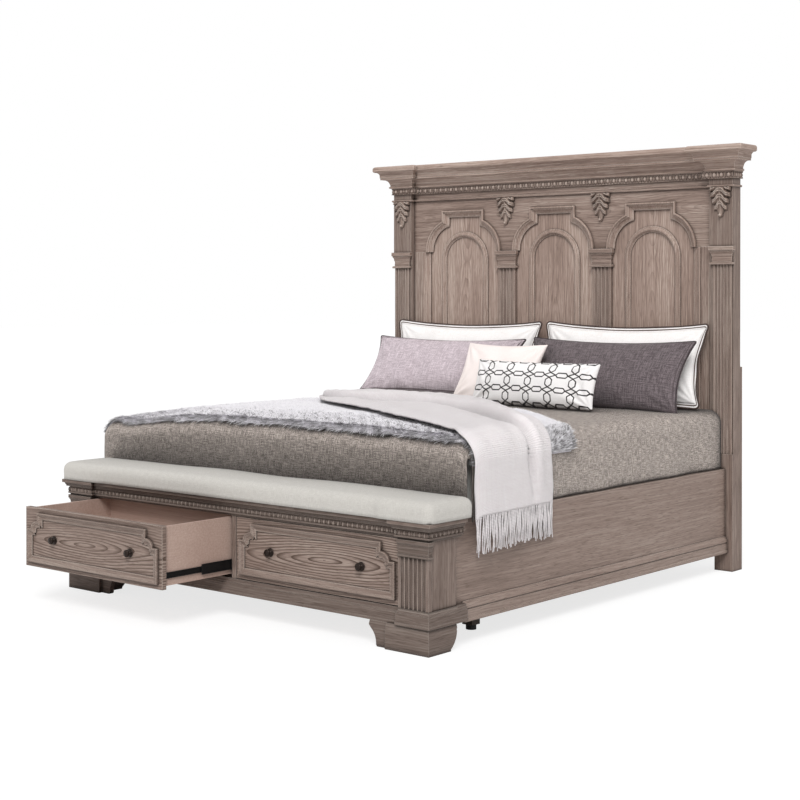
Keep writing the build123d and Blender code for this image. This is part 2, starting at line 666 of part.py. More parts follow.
FRAME_INSET = 20.0
FRAME_WIDTH = 28.0
FRAME_PROUD = 13.0
NOTCH_STEP = 25.0
NOTCH_RUN = 68.0
NOTCH_DROP = 70.0
NOTCH_HEAD = 35.0
NOTCH_BOW_SHARE = 0.19
KNOB_SPAN = 482.0
KNOB_RADIUS = 15.0
KNOB_PROUD = 27.0
KNOB_SHARES = [(0, 0), (1.15, 0), (1.15, 0.08), (0.9, 0.13), (0.42, 0.2), (0.36, 0.46, 0.1),
               (0.96, 0.6), (1, 0.78, -0.25), (0.7, 0.93, -0.12), (0.3, 1, -0.05), (0, 1)]
SLIDE_ROOM = 13.0
BOX_WALL = 13.0
BOX_LIFT = 12.0
BOX_DROP = 5.0
BOTTOM_THICK = 6.0
BOTTOM_LIFT = 12.0
GROOVE_DEPTH = 6.0
GROOVE_ROOM = 0.2
DRAWER_X0 = DIVIDER_THICK / 2 + DRAWER_REVEAL
DRAWER_X1 = FOOT_IN - DRAWER_REVEAL
DRAWER_Z0 = DRAWER_SILL + DRAWER_REVEAL
DRAWER_Z1 = DRAWER_HEAD - DRAWER_REVEAL
BOX_X0 = DIVIDER_THICK / 2 + SLIDE_ROOM
BOX_X1 = FOOT_IN - SLIDE_ROOM
BOX_Y0 = DRAWER_FACE + FRONT_THICK
BOX_Z0 = DRAWER_Z0 + BOX_LIFT
BOX_Z1 = DRAWER_Z1 - BOX_DROP


def drawer_front():
    return block(DRAWER_X0, DRAWER_X1, DRAWER_FACE, BOX_Y0, DRAWER_Z0, DRAWER_Z1)


def front_moulding():
    """Applied frame, in mitred pieces, whose upper corners step in and bow like the arches."""
    half = (DRAWER_X1 - DRAWER_X0) / 2 - FRAME_INSET
    low, high = DRAWER_Z0 + FRAME_INSET, DRAWER_Z1 - FRAME_INSET
    notch = high - NOTCH_DROP
    left = [(-half, low), (-half, notch), (-half + NOTCH_STEP, notch),
            (-half + NOTCH_RUN, high - NOTCH_HEAD, NOTCH_BOW_SHARE), (-half + NOTCH_RUN, high)]
    right = [(half - NOTCH_RUN, high), (half - NOTCH_RUN, high - NOTCH_HEAD),
             (half - NOTCH_STEP, notch, NOTCH_BOW_SHARE), (half, notch), (half, low), (-half, low)]
    section = outline(scaled(OUTER_TRIM_SHARES, FRAME_WIDTH, FRAME_PROUD))
    middle = (DRAWER_X0 + DRAWER_X1) / 2
    face = facing_foot(middle, DRAWER_FACE)
    return [face * piece for piece in mitred(left + right, section, FRAME_WIDTH)]


def drawer_knobs():
    """Two turned knobs on small round plates."""
    profile = outline(scaled(KNOB_SHARES, KNOB_RADIUS, KNOB_PROUD))
    knob = revolve(Plane.XZ * profile, axis=Axis.Z)
    middle, height = (DRAWER_X0 + DRAWER_X1) / 2, (DRAWER_Z0 + DRAWER_Z1) / 2
    return [facing_foot(middle + side * KNOB_SPAN / 2, DRAWER_FACE) * Pos(0, height, 0) * knob
            for side in (-1, 1)]


def drawer_box():
    """Four walls with a groove round the inside for the bottom panel."""
    shell = block(BOX_X0, BOX_X1, BOX_Y0, BOX_Y0 + DRAWER_LENGTH, BOX_Z0, BOX_Z1)
    hollow = block(BOX_X0 + BOX_WALL, BOX_X1 - BOX_WALL, BOX_Y0 + BOX_WALL,
                   BOX_Y0 + DRAWER_LENGTH - BOX_WALL, BOX_Z0 - OVERRUN, BOX_Z1 + OVERRUN)
    return shell - hollow - bottom_sheet(GROOVE_ROOM)


def bottom_sheet(room):
    """Bottom panel, or with some room its groove."""
    inset = BOX_WALL - GROOVE_DEPTH + GROOVE_ROOM - room
    z = BOX_Z0 + BOTTOM_LIFT
    return block(BOX_X0 + inset, BOX_X1 - inset, BOX_Y0 + inset, BOX_Y0 + DRAWER_LENGTH - inset,
                 z - room, z + BOTTOM_THICK + room)


# Ball-bearing slides: outer member on the case, middle member, inner member on the drawer

SLIDE_SHORT = 10.0
SLIDE_SETBACK = 4.0
SLIDE_LIFT = 41.0
SLIDE_GAUGE = 1.5
OUTER_HALF = 23.0
OUTER_LIP = 9.0
INNER_HALF = 12.0
INNER_LIP = 7.0
MIDDLE_WEB = 5.0
MIDDLE_LIP_NEAR = 2.5
MIDDLE_LIP_FAR = 10.5
SLIDE_PLAY = 0.3
SLIDE_LENGTH = DRAWER_LENGTH - SLIDE_SHORT


def slide_walls():
    """Wall that each slide of the right drawer stands on, and the side it faces."""
    return ((DIVIDER_THICK / 2, 1), (FOOT_IN, -1))


def slide_bar(wall, side, near, far, low, high):
    """A strip of a slide member, measured out from its wall and from the slide's centre line."""
    xs = sorted((wall + side * near, wall + side * far))
    y0 = BOX_Y0 + SLIDE_SETBACK
    z = BOX_Z0 + SLIDE_LIFT
    return block(xs[0], xs[1], y0, y0 + SLIDE_LENGTH, z + low, z + high)


def outer_member(wall, side):
    half, lip, gauge = OUTER_HALF, OUTER_LIP, SLIDE_GAUGE
    web = slide_bar(wall, side, 0, gauge, -half, half)
    web = web + slide_bar(wall, side, 0, lip, half - gauge, half)
    return web + slide_bar(wall, side, 0, lip, -half, gauge - half)


def middle_member(wall, side):
    """Stepped member: wide lips run in the outer member, narrow lips carry the inner one."""
    gauge = SLIDE_GAUGE
    wide = OUTER_HALF - gauge - SLIDE_PLAY
    slim = INNER_HALF + SLIDE_PLAY + gauge
    web = slide_bar(wall, side, MIDDLE_WEB, MIDDLE_WEB + gauge, -wide, wide)
    for sign in (-1, 1):
        low, high = sorted((sign * wide, sign * (wide - gauge)))
        web = web + slide_bar(wall, side, MIDDLE_LIP_NEAR, MIDDLE_WEB, low, high)
        low, high = sorted((sign * slim, sign * (slim - gauge)))
        web = web + slide_bar(wall, side, MIDDLE_WEB, MIDDLE_LIP_FAR, low, high)
    return web


def inner_member(wall, side):
    half, gauge = INNER_HALF, SLIDE_GAUGE
    web = slide_bar(wall, side, SLIDE_ROOM - gauge, SLIDE_ROOM, -half, half)
    web = web + slide_bar(wall, side, INNER_LIP, SLIDE_ROOM, half - gauge, half)
    return web + slide_bar(wall, side, INNER_LIP, SLIDE_ROOM, -half, gauge - half)


def save_drawer(side):
    """Writes one drawer; the left one is the mirror image and stands open."""
    pieces = {
        "front": [drawer_front()],
        "front_moulding": front_moulding(),
        "knobs": drawer_knobs(),
        "box": [drawer_box()],
        "bottom": [bottom_sheet(0)],
        "slide_inner": [inner_member(wall, face) for wall, face in slide_walls()],
        "slide_middle": [middle_member(wall, face) for wall, face in slide_walls()],
    }
    for name, solids in pieces.items():
        if side == "left":
            opened = LEFT_OPEN / 2 if name == "slide_middle" else LEFT_OPEN
            solids = [Pos(0, -opened, 0) * mirror(s, about=Plane.YZ) for s in solids]
        save(f"{side}_drawer_{name}", solids)


# Bench cushion

CUSHION_THICK = 88.0
CUSHION_OVERHANG = 2.0
CUSHION_ROUND = 44.0
CUSHION_CROWN = 9.0
CUSHION_TUCK = 10.0
CUSHION_STEP_IN = 84.0
CUSHION_STEP = 10.0
QUARTER_BOW_SHARE = 0.207
SIDE_BULGE_SHARE = 0.06


def cushion_section(span):
    """Flat under, bulging ends and a crowned top, over one span."""
    half, high = span / 2, CUSHION_THICK - CUSHION_CROWN
    crown_share = CUSHION_CROWN / (span - 2 * CUSHION_ROUND)
    return outline([(-half + CUSHION_TUCK, 0), (half - CUSHION_TUCK, 0),
                    (half, high - CUSHION_ROUND, -SIDE_BULGE_SHARE),
                    (half - CUSHION_ROUND, high, -QUARTER_BOW_SHARE),
                    (-half + CUSHION_ROUND, high, -crown_share),
                    (-half, high - CUSHION_ROUND, -QUARTER_BOW_SHARE)])


def bench_cushion():
    """One long upholstered pad, a little further forward over the two pilasters."""
    length = 2 * (FOOT_OUT + BOARD_OUT + CUSHION_OVERHANG)
    front = FOOT_FACE - BOARD_OUT - CUSHION_OVERHANG
    rear = FOOT_Y + BENCH_DEPTH - SOFT_GAP
    base = BENCH_TOP + SOFT_GAP
    along = Plane(origin=(0, rear, base), x_dir=(1, 0, 0), z_dir=(0, -1, 0)) * cushion_section(length)
    across = Plane(origin=(-length / 2, (front + rear) / 2, base), x_dir=(0, 1, 0), z_dir=(1, 0, 0))
    pad = extrude(along, amount=rear - front) & extrude(across * cushion_section(rear - front), amount=length)
    step_x = FOOT_IN - CUSHION_STEP_IN
    return pad - block(-step_x, step_x, front - OVERRUN, front + CUSHION_STEP, base - OVERRUN,
                       base + CUSHION_THICK + OVERRUN)


# Mattress, cover and the two throws

COVER_HEM = 0.5
COVER_ROUND = 70.0
COVER_CROWN = 12.0
COVER_SIDE_SHARE = 0.02
FUR_THICK = 38.0
FUR_SIDE = 12.0
FUR_LEFT = 1235.0
FUR_RIGHT = 745.0
FUR_SLOPE_WIDTH = 580.0
FUR_OVERHANG = 40.0
KNIT_THICK = 16.0
KNIT_FOOT = 36.0
KNIT_WIDTH = 515.0
KNIT_HEM = 325.0
KNIT_WAVE_SHARE = 0.03
KNIT_FOLDS = 4
KNIT_PLAN_SHARES = [(0.795, 0.078), (0.28, 0.24), (-0.18, 0.335), (-0.75, 0.54), (-0.8, 0.61),
                    (-0.5, 0.7), (-0.1, 0.65), (0.4, 0.52), (0.85, 0.36)]
MATTRESS_BASE = SLAT_TOP + SOFT_GAP
MATTRESS_TOP = MATTRESS_BASE + MATTRESS_THICK
COVER_SIDE = MATTRESS_WIDTH / 2 + SOFT_GAP + COVER_THICK
COVER_FOOT = -MATTRESS_LENGTH / 2 - SOFT_GAP - COVER_THICK
COVER_BASE = RAIL_TOP + COVER_HEM


def mattress():
    half, end = MATTRESS_WIDTH / 2, MATTRESS_LENGTH / 2
    body = block(-half, half, -end, end, MATTRESS_BASE, MATTRESS_TOP)
    return fillet(body.edges(), MATTRESS_ROUND)


def cover_form(rise, spread):
    """Crowned form over the mattress, grown by a rise on top and a spread at the sides and foot."""
    half = COVER_SIDE + spread
    foot = COVER_FOOT - spread
    high = MATTRESS_TOP + SOFT_GAP + COVER_THICK + rise
    round_share = QUARTER_BOW_SHARE
    crown_share = COVER_CROWN / (2 * (half - COVER_ROUND))
    wide = outline([(-half, COVER_BASE), (half, COVER_BASE),
                    (half, high - COVER_ROUND, -COVER_SIDE_SHARE),
                    (half - COVER_ROUND, high, -round_share), (-half + COVER_ROUND, high, -crown_share),
                    (-half, high - COVER_ROUND, -round_share)])
    top = high + COVER_CROWN
    head = MATTRESS_LENGTH / 2
    long = outline([(foot, COVER_BASE), (head, COVER_BASE), (head, top), (foot + COVER_ROUND, top),
                    (foot, top - COVER_ROUND, -round_share)])
    across = extrude(facing_foot(0, head) * wide, amount=head - foot + OVERRUN)
    side = Plane(origin=(-half - OVERRUN, 0, 0), x_dir=(0, 1, 0), z_dir=(1, 0, 0))
    return across & extrude(side * long, amount=2 * (half + OVERRUN))


def coverlet():
    """Quilted cover over the top, both sides and the foot of the mattress."""
    half, end = MATTRESS_WIDTH / 2 + SOFT_GAP, MATTRESS_LENGTH / 2
    core = block(-half, half, -end - SOFT_GAP, end + OVERRUN, COVER_BASE - OVERRUN, MATTRESS_TOP + SOFT_GAP)
    return cover_form(0, 0) - core


def fur_plan(room):
    """Upright prism over the fur throw, whose far edge slopes forward at the right side."""
    side, foot = COVER_SIDE + FUR_SIDE + OVERRUN, COVER_FOOT - FUR_SIDE - OVERRUN
    far = COVER_FOOT + FUR_LEFT + room
    plan = outline([(-side, foot), (side, foot), (side, COVER_FOOT + FUR_RIGHT + room),
                    (side - FUR_SLOPE_WIDTH, far), (-side, far)])
    low = MATTRESS_TOP - FUR_OVERHANG - room
    return Pos(0, 0, low) * extrude(plan, amount=COVER_THICK + FUR_THICK + FUR_OVERHANG * 2, dir=(0, 0, 1))


def fur_throw():
    return (cover_form(FUR_THICK, FUR_SIDE) - cover_form(SOFT_GAP, SOFT_GAP)) & fur_plan(0)


def knit_throw():
    """Knitted throw: bunched across the bed, then down the right side past the rail to its fringe."""
    spread = RAIL_OUT + SOFT_GAP + KNIT_THICK - COVER_SIDE
    start = COVER_FOOT + KNIT_FOOT
    edge = COVER_SIDE + spread
    low = MATTRESS_TOP - FUR_OVERHANG
    plan = [(x * COVER_SIDE, COVER_FOOT + y * MATTRESS_LENGTH) for x, y in KNIT_PLAN_SHARES]
    plan = outline([(edge, start)] + plan + [(edge, start + KNIT_WIDTH)])
    prism = Pos(0, 0, low) * extrude(plan, amount=COVER_THICK + FUR_THICK + FUR_OVERHANG * 3, dir=(0, 0, 1))
    top = (cover_form(FUR_THICK + KNIT_THICK, spread) - cover_form(SOFT_GAP, SOFT_GAP)) & prism
    top = top - (cover_form(FUR_THICK + SOFT_GAP, FUR_SIDE + SOFT_GAP) & fur_plan(SOFT_GAP))
    return top + knit_fall(start)


def knit_fall(start):
    """The hanging end, with its main folds as shallow waves seen from above."""
    near, far = RAIL_OUT + SOFT_GAP, RAIL_OUT + SOFT_GAP + KNIT_THICK
    fold = KNIT_WIDTH / KNIT_FOLDS
    outer = [(far, start + fold * i, KNIT_WAVE_SHARE * (-1) ** i) for i in range(1, KNIT_FOLDS + 1)]
    plan = outline([(near, start), (far, start)] + outer + [(near, start + KNIT_WIDTH)])
    top = MATTRESS_TOP - FUR_OVERHANG / 2
    return Pos(0, 0, KNIT_HEM) * extrude(plan, amount=top - KNIT_HEM, dir=(0, 0, 1))


# Pillows, standing on the cover one soft gap from what is behind them

PILLOW_SECTION_SHARES = ((-0.5, 0.4), (-0.3, 0.84), (0, 1), (0.3, 0.84), (0.5, 0.4))
PILLOW_PULL_SHARE = 0.035
FLANGE_WIDTH = 22.0
FLANGE_THICK = 6.0
SHAM_HEIGHT = 370.0
SHAM_THICK = 130.0
SHAM_DEGREES = 14.0
SHAM_INNER_ROOM = 10.0
SHAM_OUTER_ROOM = 11.0
SHAM_BACK_ROOM = 51.7
SHAM_LIFT = 1.05
GREY_HEIGHT = 362.0
GREY_THICK = 125.0
GREY_DEGREES = 31.0
GREY_INNER_ROOM = 35.0
GREY_BACK_ROOM = 46.2
GREY_LIFT = 4.15
BLUSH_WIDTH = 485.0
BLUSH_HEIGHT = 335.0
BLUSH_THICK = 100.0
BLUSH_DEGREES = 31.0
BLUSH_LEFT = 80.0
BLUSH_BACK_ROOM = 17.7
BLUSH_LIFT = 2.6
LUMBAR_WIDTH = 800.0
LUMBAR_HEIGHT = 230.0
LUMBAR_THICK = 95.0
LUMBAR_DEGREES = 20.0
LUMBAR_TURN_DEGREES = -13.0
LUMBAR_RIGHT = 255.0
LUMBAR_BACK_ROOM = 88.2
LUMBAR_LIFT = 1.4
COVER_CREST = MATTRESS_TOP + SOFT_GAP + COVER_THICK + COVER_CROWN
SHAM_WIDTH = MATTRESS_WIDTH / 2 - SHAM_INNER_ROOM - SHAM_OUTER_ROOM - 2 * FLANGE_WIDTH
GREY_WIDTH = MATTRESS_WIDTH / 2 - GREY_INNER_ROOM
SHAM_X = SHAM_INNER_ROOM + FLANGE_WIDTH + SHAM_WIDTH / 2
GREY_X = GREY_INNER_ROOM + GREY_WIDTH / 2
SHAM_Y = HEAD_Y - SHAM_BACK_ROOM
GREY_Y = SHAM_Y - (SHAM_THICK + GREY_THICK) / 2 - GREY_BACK_ROOM
BLUSH_Y = GREY_Y - (GREY_THICK + BLUSH_THICK) / 2 - BLUSH_BACK_ROOM
LUMBAR_Y = BLUSH_Y - (BLUSH_THICK + LUMBAR_THICK) / 2 - LUMBAR_BACK_ROOM


def pillow(width, height, thick):
    """Crowned pad with drawn-in sides, lofted through its thickness."""
    pull = PILLOW_PULL_SHARE
    sections = []
    for level_share, size_share in PILLOW_SECTION_SHARES:
        x, y = width * size_share / 2, height * size_share / 2
        face = outline([(-x, -y, pull), (x, -y, pull), (x, y, pull), (-x, y, pull)])
        sections.append(Plane.XY.offset(level_share * thick) * face)
    return loft(sections)


def flanged(width, height, thick):
    """Sham: a pillow with a flat flange round its middle."""
    rim = Box(width + 2 * FLANGE_WIDTH, height + 2 * FLANGE_WIDTH, FLANGE_THICK)
    return pillow(width, height, thick) + rim


def stood(piece, x, y, height, degrees, lift, turn_degrees=0):
    """A pillow stood on the cover by its height and lift, leaned back and turned about the upright."""
    z = COVER_CREST + height / 2 * math.cos(math.radians(degrees)) + lift
    return Pos(x, y, z) * Rot(0, 0, turn_degrees) * Rot(90 - degrees, 0, 0) * piece


def shams():
    pad = flanged(SHAM_WIDTH, SHAM_HEIGHT, SHAM_THICK)
    return pair(stood(pad, SHAM_X, SHAM_Y, SHAM_HEIGHT + 2 * FLANGE_WIDTH, SHAM_DEGREES, SHAM_LIFT))


def grey_pillows():
    pad = pillow(GREY_WIDTH, GREY_HEIGHT, GREY_THICK)
    return pair(stood(pad, GREY_X, GREY_Y, GREY_HEIGHT, GREY_DEGREES, GREY_LIFT))


def blush_pillow():
    pad = pillow(BLUSH_WIDTH, BLUSH_HEIGHT, BLUSH_THICK)
    return stood(pad, -BLUSH_LEFT, BLUSH_Y, BLUSH_HEIGHT, BLUSH_DEGREES, BLUSH_LIFT)


def patterned_pillow():
    pad = pillow(LUMBAR_WIDTH, LUMBAR_HEIGHT, LUMBAR_THICK)
    return stood(pad, LUMBAR_RIGHT, LUMBAR_Y, LUMBAR_HEIGHT, LUMBAR_DEGREES, LUMBAR_LIFT,
                 LUMBAR_TURN_DEGREES)


def save_pillows():
    """Shams against the headboard, grey pillows, then a blush and a patterned one in front."""
    save("shams", shams())
    save("grey_pillows", grey_pillows())
    save("blush_pillow", [blush_pillow()])
    save("patterned_pillow", [patterned_pillow()])


# The nodes

def save_headboard():
    posts = pair(headboard_post())
    save("headboard_post_right", [posts[0]])
    save("headboard_post_left", [posts[1]])
    save("post_pilasters", pair(post_pilaster()))
    save("post_capitals", pair(post_capital()))
    save("spandrel_board", [spandrel_board()])
    save("headboard_stiles", pair(stile()))
    save("arch_panels", arch_panels())
    save("headboard_back_rails", back_rails())
    bays = (-BAY_PITCH, 0, BAY_PITCH)
    outer = [piece for x in bays for piece in outer_arch_trim(x)]
    save("arch_outer_mouldings", outer + pair(stile_trim()))
    save("arch_inner_mouldings", [inner_arch_trim(x) for x in bays])
    save("headboard_mullions", pair(mullion()))
    save("mullion_capitals", pair(mullion_capital()))
    post_centre = (POST_IN + POST_OUT) / 2
    save("acanthus_corbels", pair(corbel(post_centre, HEAD_Y)) + pair(corbel(MULLION_CENTRE, SPANDREL_Y)))
    save("headboard_frieze", frieze())
    save("crown_carved_band", [carved_band(crown_route(), BAND_OUT, CROWN_BASE, BAND_HEIGHT)])
    save("crown_moulding", [crown_moulding()])


def save_frame():
    rails = pair(side_rail())
    save("side_rail_right", [rails[0]])
    save("side_rail_left", [rails[1]])
    save("rail_mouldings", pair(rail_moulding()))
    save("rail_hook_brackets", [twin for piece in hook_brackets() for twin in pair(piece)])
    save("slat_cleats", pair(slat_cleat()))
    save("bed_slats", bed_slats())
    save("centre_beam", [centre_beam()])
    save("support_legs", support_legs())
    save("leg_glides", leg_glides())


def save_footboard():
    save("foot_posts", pair(foot_post()))
    save("foot_pilasters", pair(foot_pilaster()))
    save("foot_capitals", pair(foot_capital()))
    save("drawer_header", [header()])
    band = carved_band(foot_route(POST_REAR + HEADER_RETURN), FOOT_BAND_OUT,
                       DRAWER_HEAD + HEADER_LOWER, FOOT_BAND_HEIGHT)
    save("foot_carved_band", [band])
    save("bench_board", [bench_board()])
    save("base_moulding", [base_moulding()])
    save("bracket_feet", [twin for piece in bracket_foot() for twin in pair(piece)])
    save("drawer_divider", [drawer_divider()])
    save("drawer_case", [drawer_case()])
    save("case_floor", [case_floor()])
    outer = [outer_member(wall, face) for wall, face in slide_walls()]
    save("slide_outer_members", [twin for piece in outer for twin in pair(piece)])
    save_drawer("left")
    save_drawer("right")


def save_bedding():
    save("bench_cushion", [bench_cushion()])
    save("mattress", [mattress()])
    save("coverlet", [coverlet()])
    save("fur_throw", [fur_throw()])
    save("knit_throw", [knit_throw()])
    save_pillows()


save_headboard()
save_frame()
save_footboard()
save_bedding()
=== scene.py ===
"""Looks of the storage bed: its wood, hardware, cushions, bedding, floor, light and camera.

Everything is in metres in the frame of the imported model: +X right seen from the foot, +Y towards the
head, +Z up, origin on the floor under the middle of the mattress.
"""
import math

import bmesh
import bpy
import numpy as np
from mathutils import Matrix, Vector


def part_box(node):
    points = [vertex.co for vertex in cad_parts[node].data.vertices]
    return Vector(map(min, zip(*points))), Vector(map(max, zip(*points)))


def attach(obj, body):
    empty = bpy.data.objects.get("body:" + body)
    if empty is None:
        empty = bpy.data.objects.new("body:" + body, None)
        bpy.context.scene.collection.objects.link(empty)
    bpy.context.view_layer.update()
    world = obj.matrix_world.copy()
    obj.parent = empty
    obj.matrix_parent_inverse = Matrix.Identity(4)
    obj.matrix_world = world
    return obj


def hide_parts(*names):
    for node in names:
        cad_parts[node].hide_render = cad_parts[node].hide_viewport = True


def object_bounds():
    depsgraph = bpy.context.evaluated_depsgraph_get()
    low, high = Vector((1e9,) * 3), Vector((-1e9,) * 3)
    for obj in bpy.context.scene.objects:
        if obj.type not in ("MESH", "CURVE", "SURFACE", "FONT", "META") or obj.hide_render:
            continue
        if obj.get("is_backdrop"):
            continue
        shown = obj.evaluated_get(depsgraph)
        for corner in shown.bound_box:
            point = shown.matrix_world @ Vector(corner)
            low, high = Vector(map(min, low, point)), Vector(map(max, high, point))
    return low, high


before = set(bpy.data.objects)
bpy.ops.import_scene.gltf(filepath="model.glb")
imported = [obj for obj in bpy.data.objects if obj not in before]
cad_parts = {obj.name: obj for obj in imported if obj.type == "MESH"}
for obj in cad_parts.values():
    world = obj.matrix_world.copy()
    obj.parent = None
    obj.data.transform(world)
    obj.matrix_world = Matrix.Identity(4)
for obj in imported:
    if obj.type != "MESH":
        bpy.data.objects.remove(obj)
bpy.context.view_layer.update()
scene = bpy.context.scene

# Camera. It stands off the right foot corner at eye height and looks level across the bed; the small
# shift keeps upright edges upright.
CAMERA_PLACE = (4.581, -5.790, 1.346)
CAMERA_TURN = 41.16
CAMERA_DIP = 0.33
LENS, SENSOR = 70.41, 36.0
SHIFT = 0.0615, -0.1267

eye = bpy.data.cameras.new("eye")
eye.lens = LENS
eye.sensor_width = SENSOR
eye.shift_x, eye.shift_y = SHIFT
eye.clip_end = 60.0
camera = bpy.data.objects.new("eye", eye)
camera.location = CAMERA_PLACE
camera.rotation_euler = (math.radians(90 - CAMERA_DIP), 0, math.radians(CAMERA_TURN))
scene.collection.objects.link(camera)
scene.camera = camera
scene.view_settings.view_transform = "Standard"


# Floor and light. A plain pale studio floor under an even sky, with one broad soft lamp in front and
# above; the floor is white to the camera but still takes the bed's shadow.
def feed(tree, node, inputs):
    """Sets a node's inputs, by name or number: a socket is linked, any other value is written."""
    for key, value in inputs.items():
        if isinstance(value, bpy.types.NodeSocket):
            tree.links.new(value, node.inputs[key])
        else:
            node.inputs[key].default_value = value


def add(tree, kind, inputs=None, **settings):
    """Adds a shader node with its settings and inputs."""
    made = tree.nodes.new(kind)
    for name, value in settings.items():
        setattr(made, name, value)
    feed(tree, made, inputs or {})
    return made


def math_of(tree, operation, a, b=0.0, c=0.0, clamp=False):
    """One Math node: the operation on two or three numbers or sockets."""
    return add(tree, "ShaderNodeMath", {0: a, 1: b, 2: c}, operation=operation, use_clamp=clamp).outputs[0]


def vector_of(tree, operation, a, b=(0, 0, 0), scale=1.0):
    """One Vector Math node: gives its vector, or its number for a length or a dot product."""
    made = add(tree, "ShaderNodeVectorMath", {0: a, 1: b, 3: scale}, operation=operation)
    return made.outputs["Value" if operation in ("LENGTH", "DOT_PRODUCT") else "Vector"]


def new_material(name):
    """A material with its node tree and its Principled shader."""
    material = bpy.data.materials.new(name)
    material.use_nodes = True
    return material, material.node_tree, material.node_tree.nodes["Principled BSDF"]


def painted(material):
    """A material's tree, its shader and the colour that feeds it, for a further effect on top."""
    tree = material.node_tree
    shader = tree.nodes["Principled BSDF"]
    return tree, shader, shader.inputs["Base Color"].links[0].from_socket


def paint(red, green, blue):
    """A screen colour of 0 to 255 as the light value: ((v + 0.055) / 1.055) to the power 2.4."""
    values = [v / 255 for v in (red, green, blue)]
    return tuple([v / 12.92 if v < 0.04 else ((v + 0.055) / 1.055) ** 2.4 for v in values] + [1.0])


SKY_STRENGTH = 0.56
LAMP_STRENGTH = 2.2
LAMP_SPREAD = 24.0
LAMP_HEIGHT, LAMP_SIDE = 45.0, 34.0
FLOOR_HALF = 40.0
FLOOR_GLOW, FLOOR_GLOW_SHARE = 1.12, 0.68

sky = bpy.data.worlds.new("sky")
scene.world = sky
sky.use_nodes = True
tree = sky.node_tree
tree.nodes.clear()
seen = add(tree, "ShaderNodeLightPath")
shown = math_of(tree, "MAXIMUM", seen.outputs["Is Camera Ray"], seen.outputs["Is Glossy Ray"])
level = math_of(tree, "MULTIPLY_ADD", shown, 1 - SKY_STRENGTH, SKY_STRENGTH)
light = add(tree, "ShaderNodeBackground", {"Color": (1, 1, 1, 1), "Strength": level})
add(tree, "ShaderNodeOutputWorld", {"Surface": light.outputs[0]})

lamp = bpy.data.lights.new("lamp", "SUN")
lamp.energy = LAMP_STRENGTH
lamp.angle = math.radians(LAMP_SPREAD)
lamp_object = bpy.data.objects.new("lamp", lamp)
lamp_object.rotation_euler = (math.radians(90 - LAMP_HEIGHT), 0, math.radians(LAMP_SIDE))
scene.collection.objects.link(lamp_object)

floor_mesh = bpy.data.meshes.new("floor")
corners = [(x * FLOOR_HALF, y * FLOOR_HALF, 0) for x, y in ((-1, -1), (1, -1), (1, 1), (-1, 1))]
floor_mesh.from_pydata(corners, [], [(0, 1, 2, 3)])
floor = bpy.data.objects.new("floor", floor_mesh)
scene.collection.objects.link(floor)
material, tree, _ = new_material("floor")
tree.nodes.clear()
seen = add(tree, "ShaderNodeLightPath")
share = math_of(tree, "MULTIPLY", seen.outputs["Is Camera Ray"], FLOOR_GLOW_SHARE)
matt = add(tree, "ShaderNodeBsdfDiffuse", {"Color": paint(240, 240, 240)})
glow = add(tree, "ShaderNodeEmission", {"Color": (1, 1, 1, 1), "Strength": FLOOR_GLOW})
both = add(tree, "ShaderNodeMixShader", {0: share, 1: matt.outputs[0], 2: glow.outputs[0]})
add(tree, "ShaderNodeOutputMaterial", {"Surface": both.outputs[0]})
floor_mesh.materials.append(material)
floor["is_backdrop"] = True


# Wood finish. The whole bed is oak, wire-brushed along the grain, stained grey-brown and wiped with a
# dark glazing that stays in the pores. Grooves and corners are darker, partly glazing and partly painted
# shade, and edges are paler, partly rubbing and partly a painted highlight.
def new_group(name, inputs, outputs):
    """An empty shader group: gives the group, its input sockets and its output sockets."""
    group = bpy.data.node_groups.new(name, "ShaderNodeTree")
    for label, kind, value in inputs:
        socket = group.interface.new_socket(label, in_out="INPUT", socket_type="NodeSocket" + kind)
        if value is not None:
            socket.default_value = value
    for label, kind in outputs:
        group.interface.new_socket(label, in_out="OUTPUT", socket_type="NodeSocket" + kind)
    return group, group.nodes.new("NodeGroupInput").outputs, group.nodes.new("NodeGroupOutput").inputs


def noise(tree, vector, stretch, detail=2.0, roughness=0.5):
    """Noise of a vector stretched by three factors; gives its value."""
    settings = {"Vector": vector_of(tree, "MULTIPLY", vector, stretch), "Scale": 1.0,
                "Detail": detail, "Roughness": roughness}
    return add(tree, "ShaderNodeTexNoise", settings).outputs["Fac"]


def ramp(tree, value, low, high, to_low=0.0, to_high=1.0):
    """Maps a value from one range to another and keeps it inside."""
    return add(tree, "ShaderNodeMapRange", {0: value, 1: low, 2: high, 3: to_low, 4: to_high}).outputs[0]


def blend_colour(tree, share, a, b):
    """Mixes two colours by a share."""
    return add(tree, "ShaderNodeMix", {0: share, 6: a, 7: b}, data_type="RGBA").outputs[2]


def flat_place(tree):
    """The distances over the flat cut of a piece, from its own map, as separate outputs."""
    place = add(tree, "ShaderNodeUVMap", uv_map="flat").outputs[0]
    return add(tree, "ShaderNodeSeparateXYZ", {0: place}).outputs


def bump(tree, height, strength, distance, **under):
    """The normal, tilted as a relief of that height tilts it."""
    inputs = {"Height": height, "Strength": strength, "Distance": distance, **under}
    return add(tree, "ShaderNodeBump", inputs).outputs[0]


FLAME_REPEAT = 0.5
BOARD_REPEAT = 0.2915
TRUNK_SLOPE = 0.11
RINGS_PER_METRE = 104.0
RING_WOBBLE = 2.2
GLAZE_AND_SHADE_COLOUR = paint(46, 37, 32)
RUBBED_AND_HIGHLIGHT_COLOUR = paint(212, 198, 187)


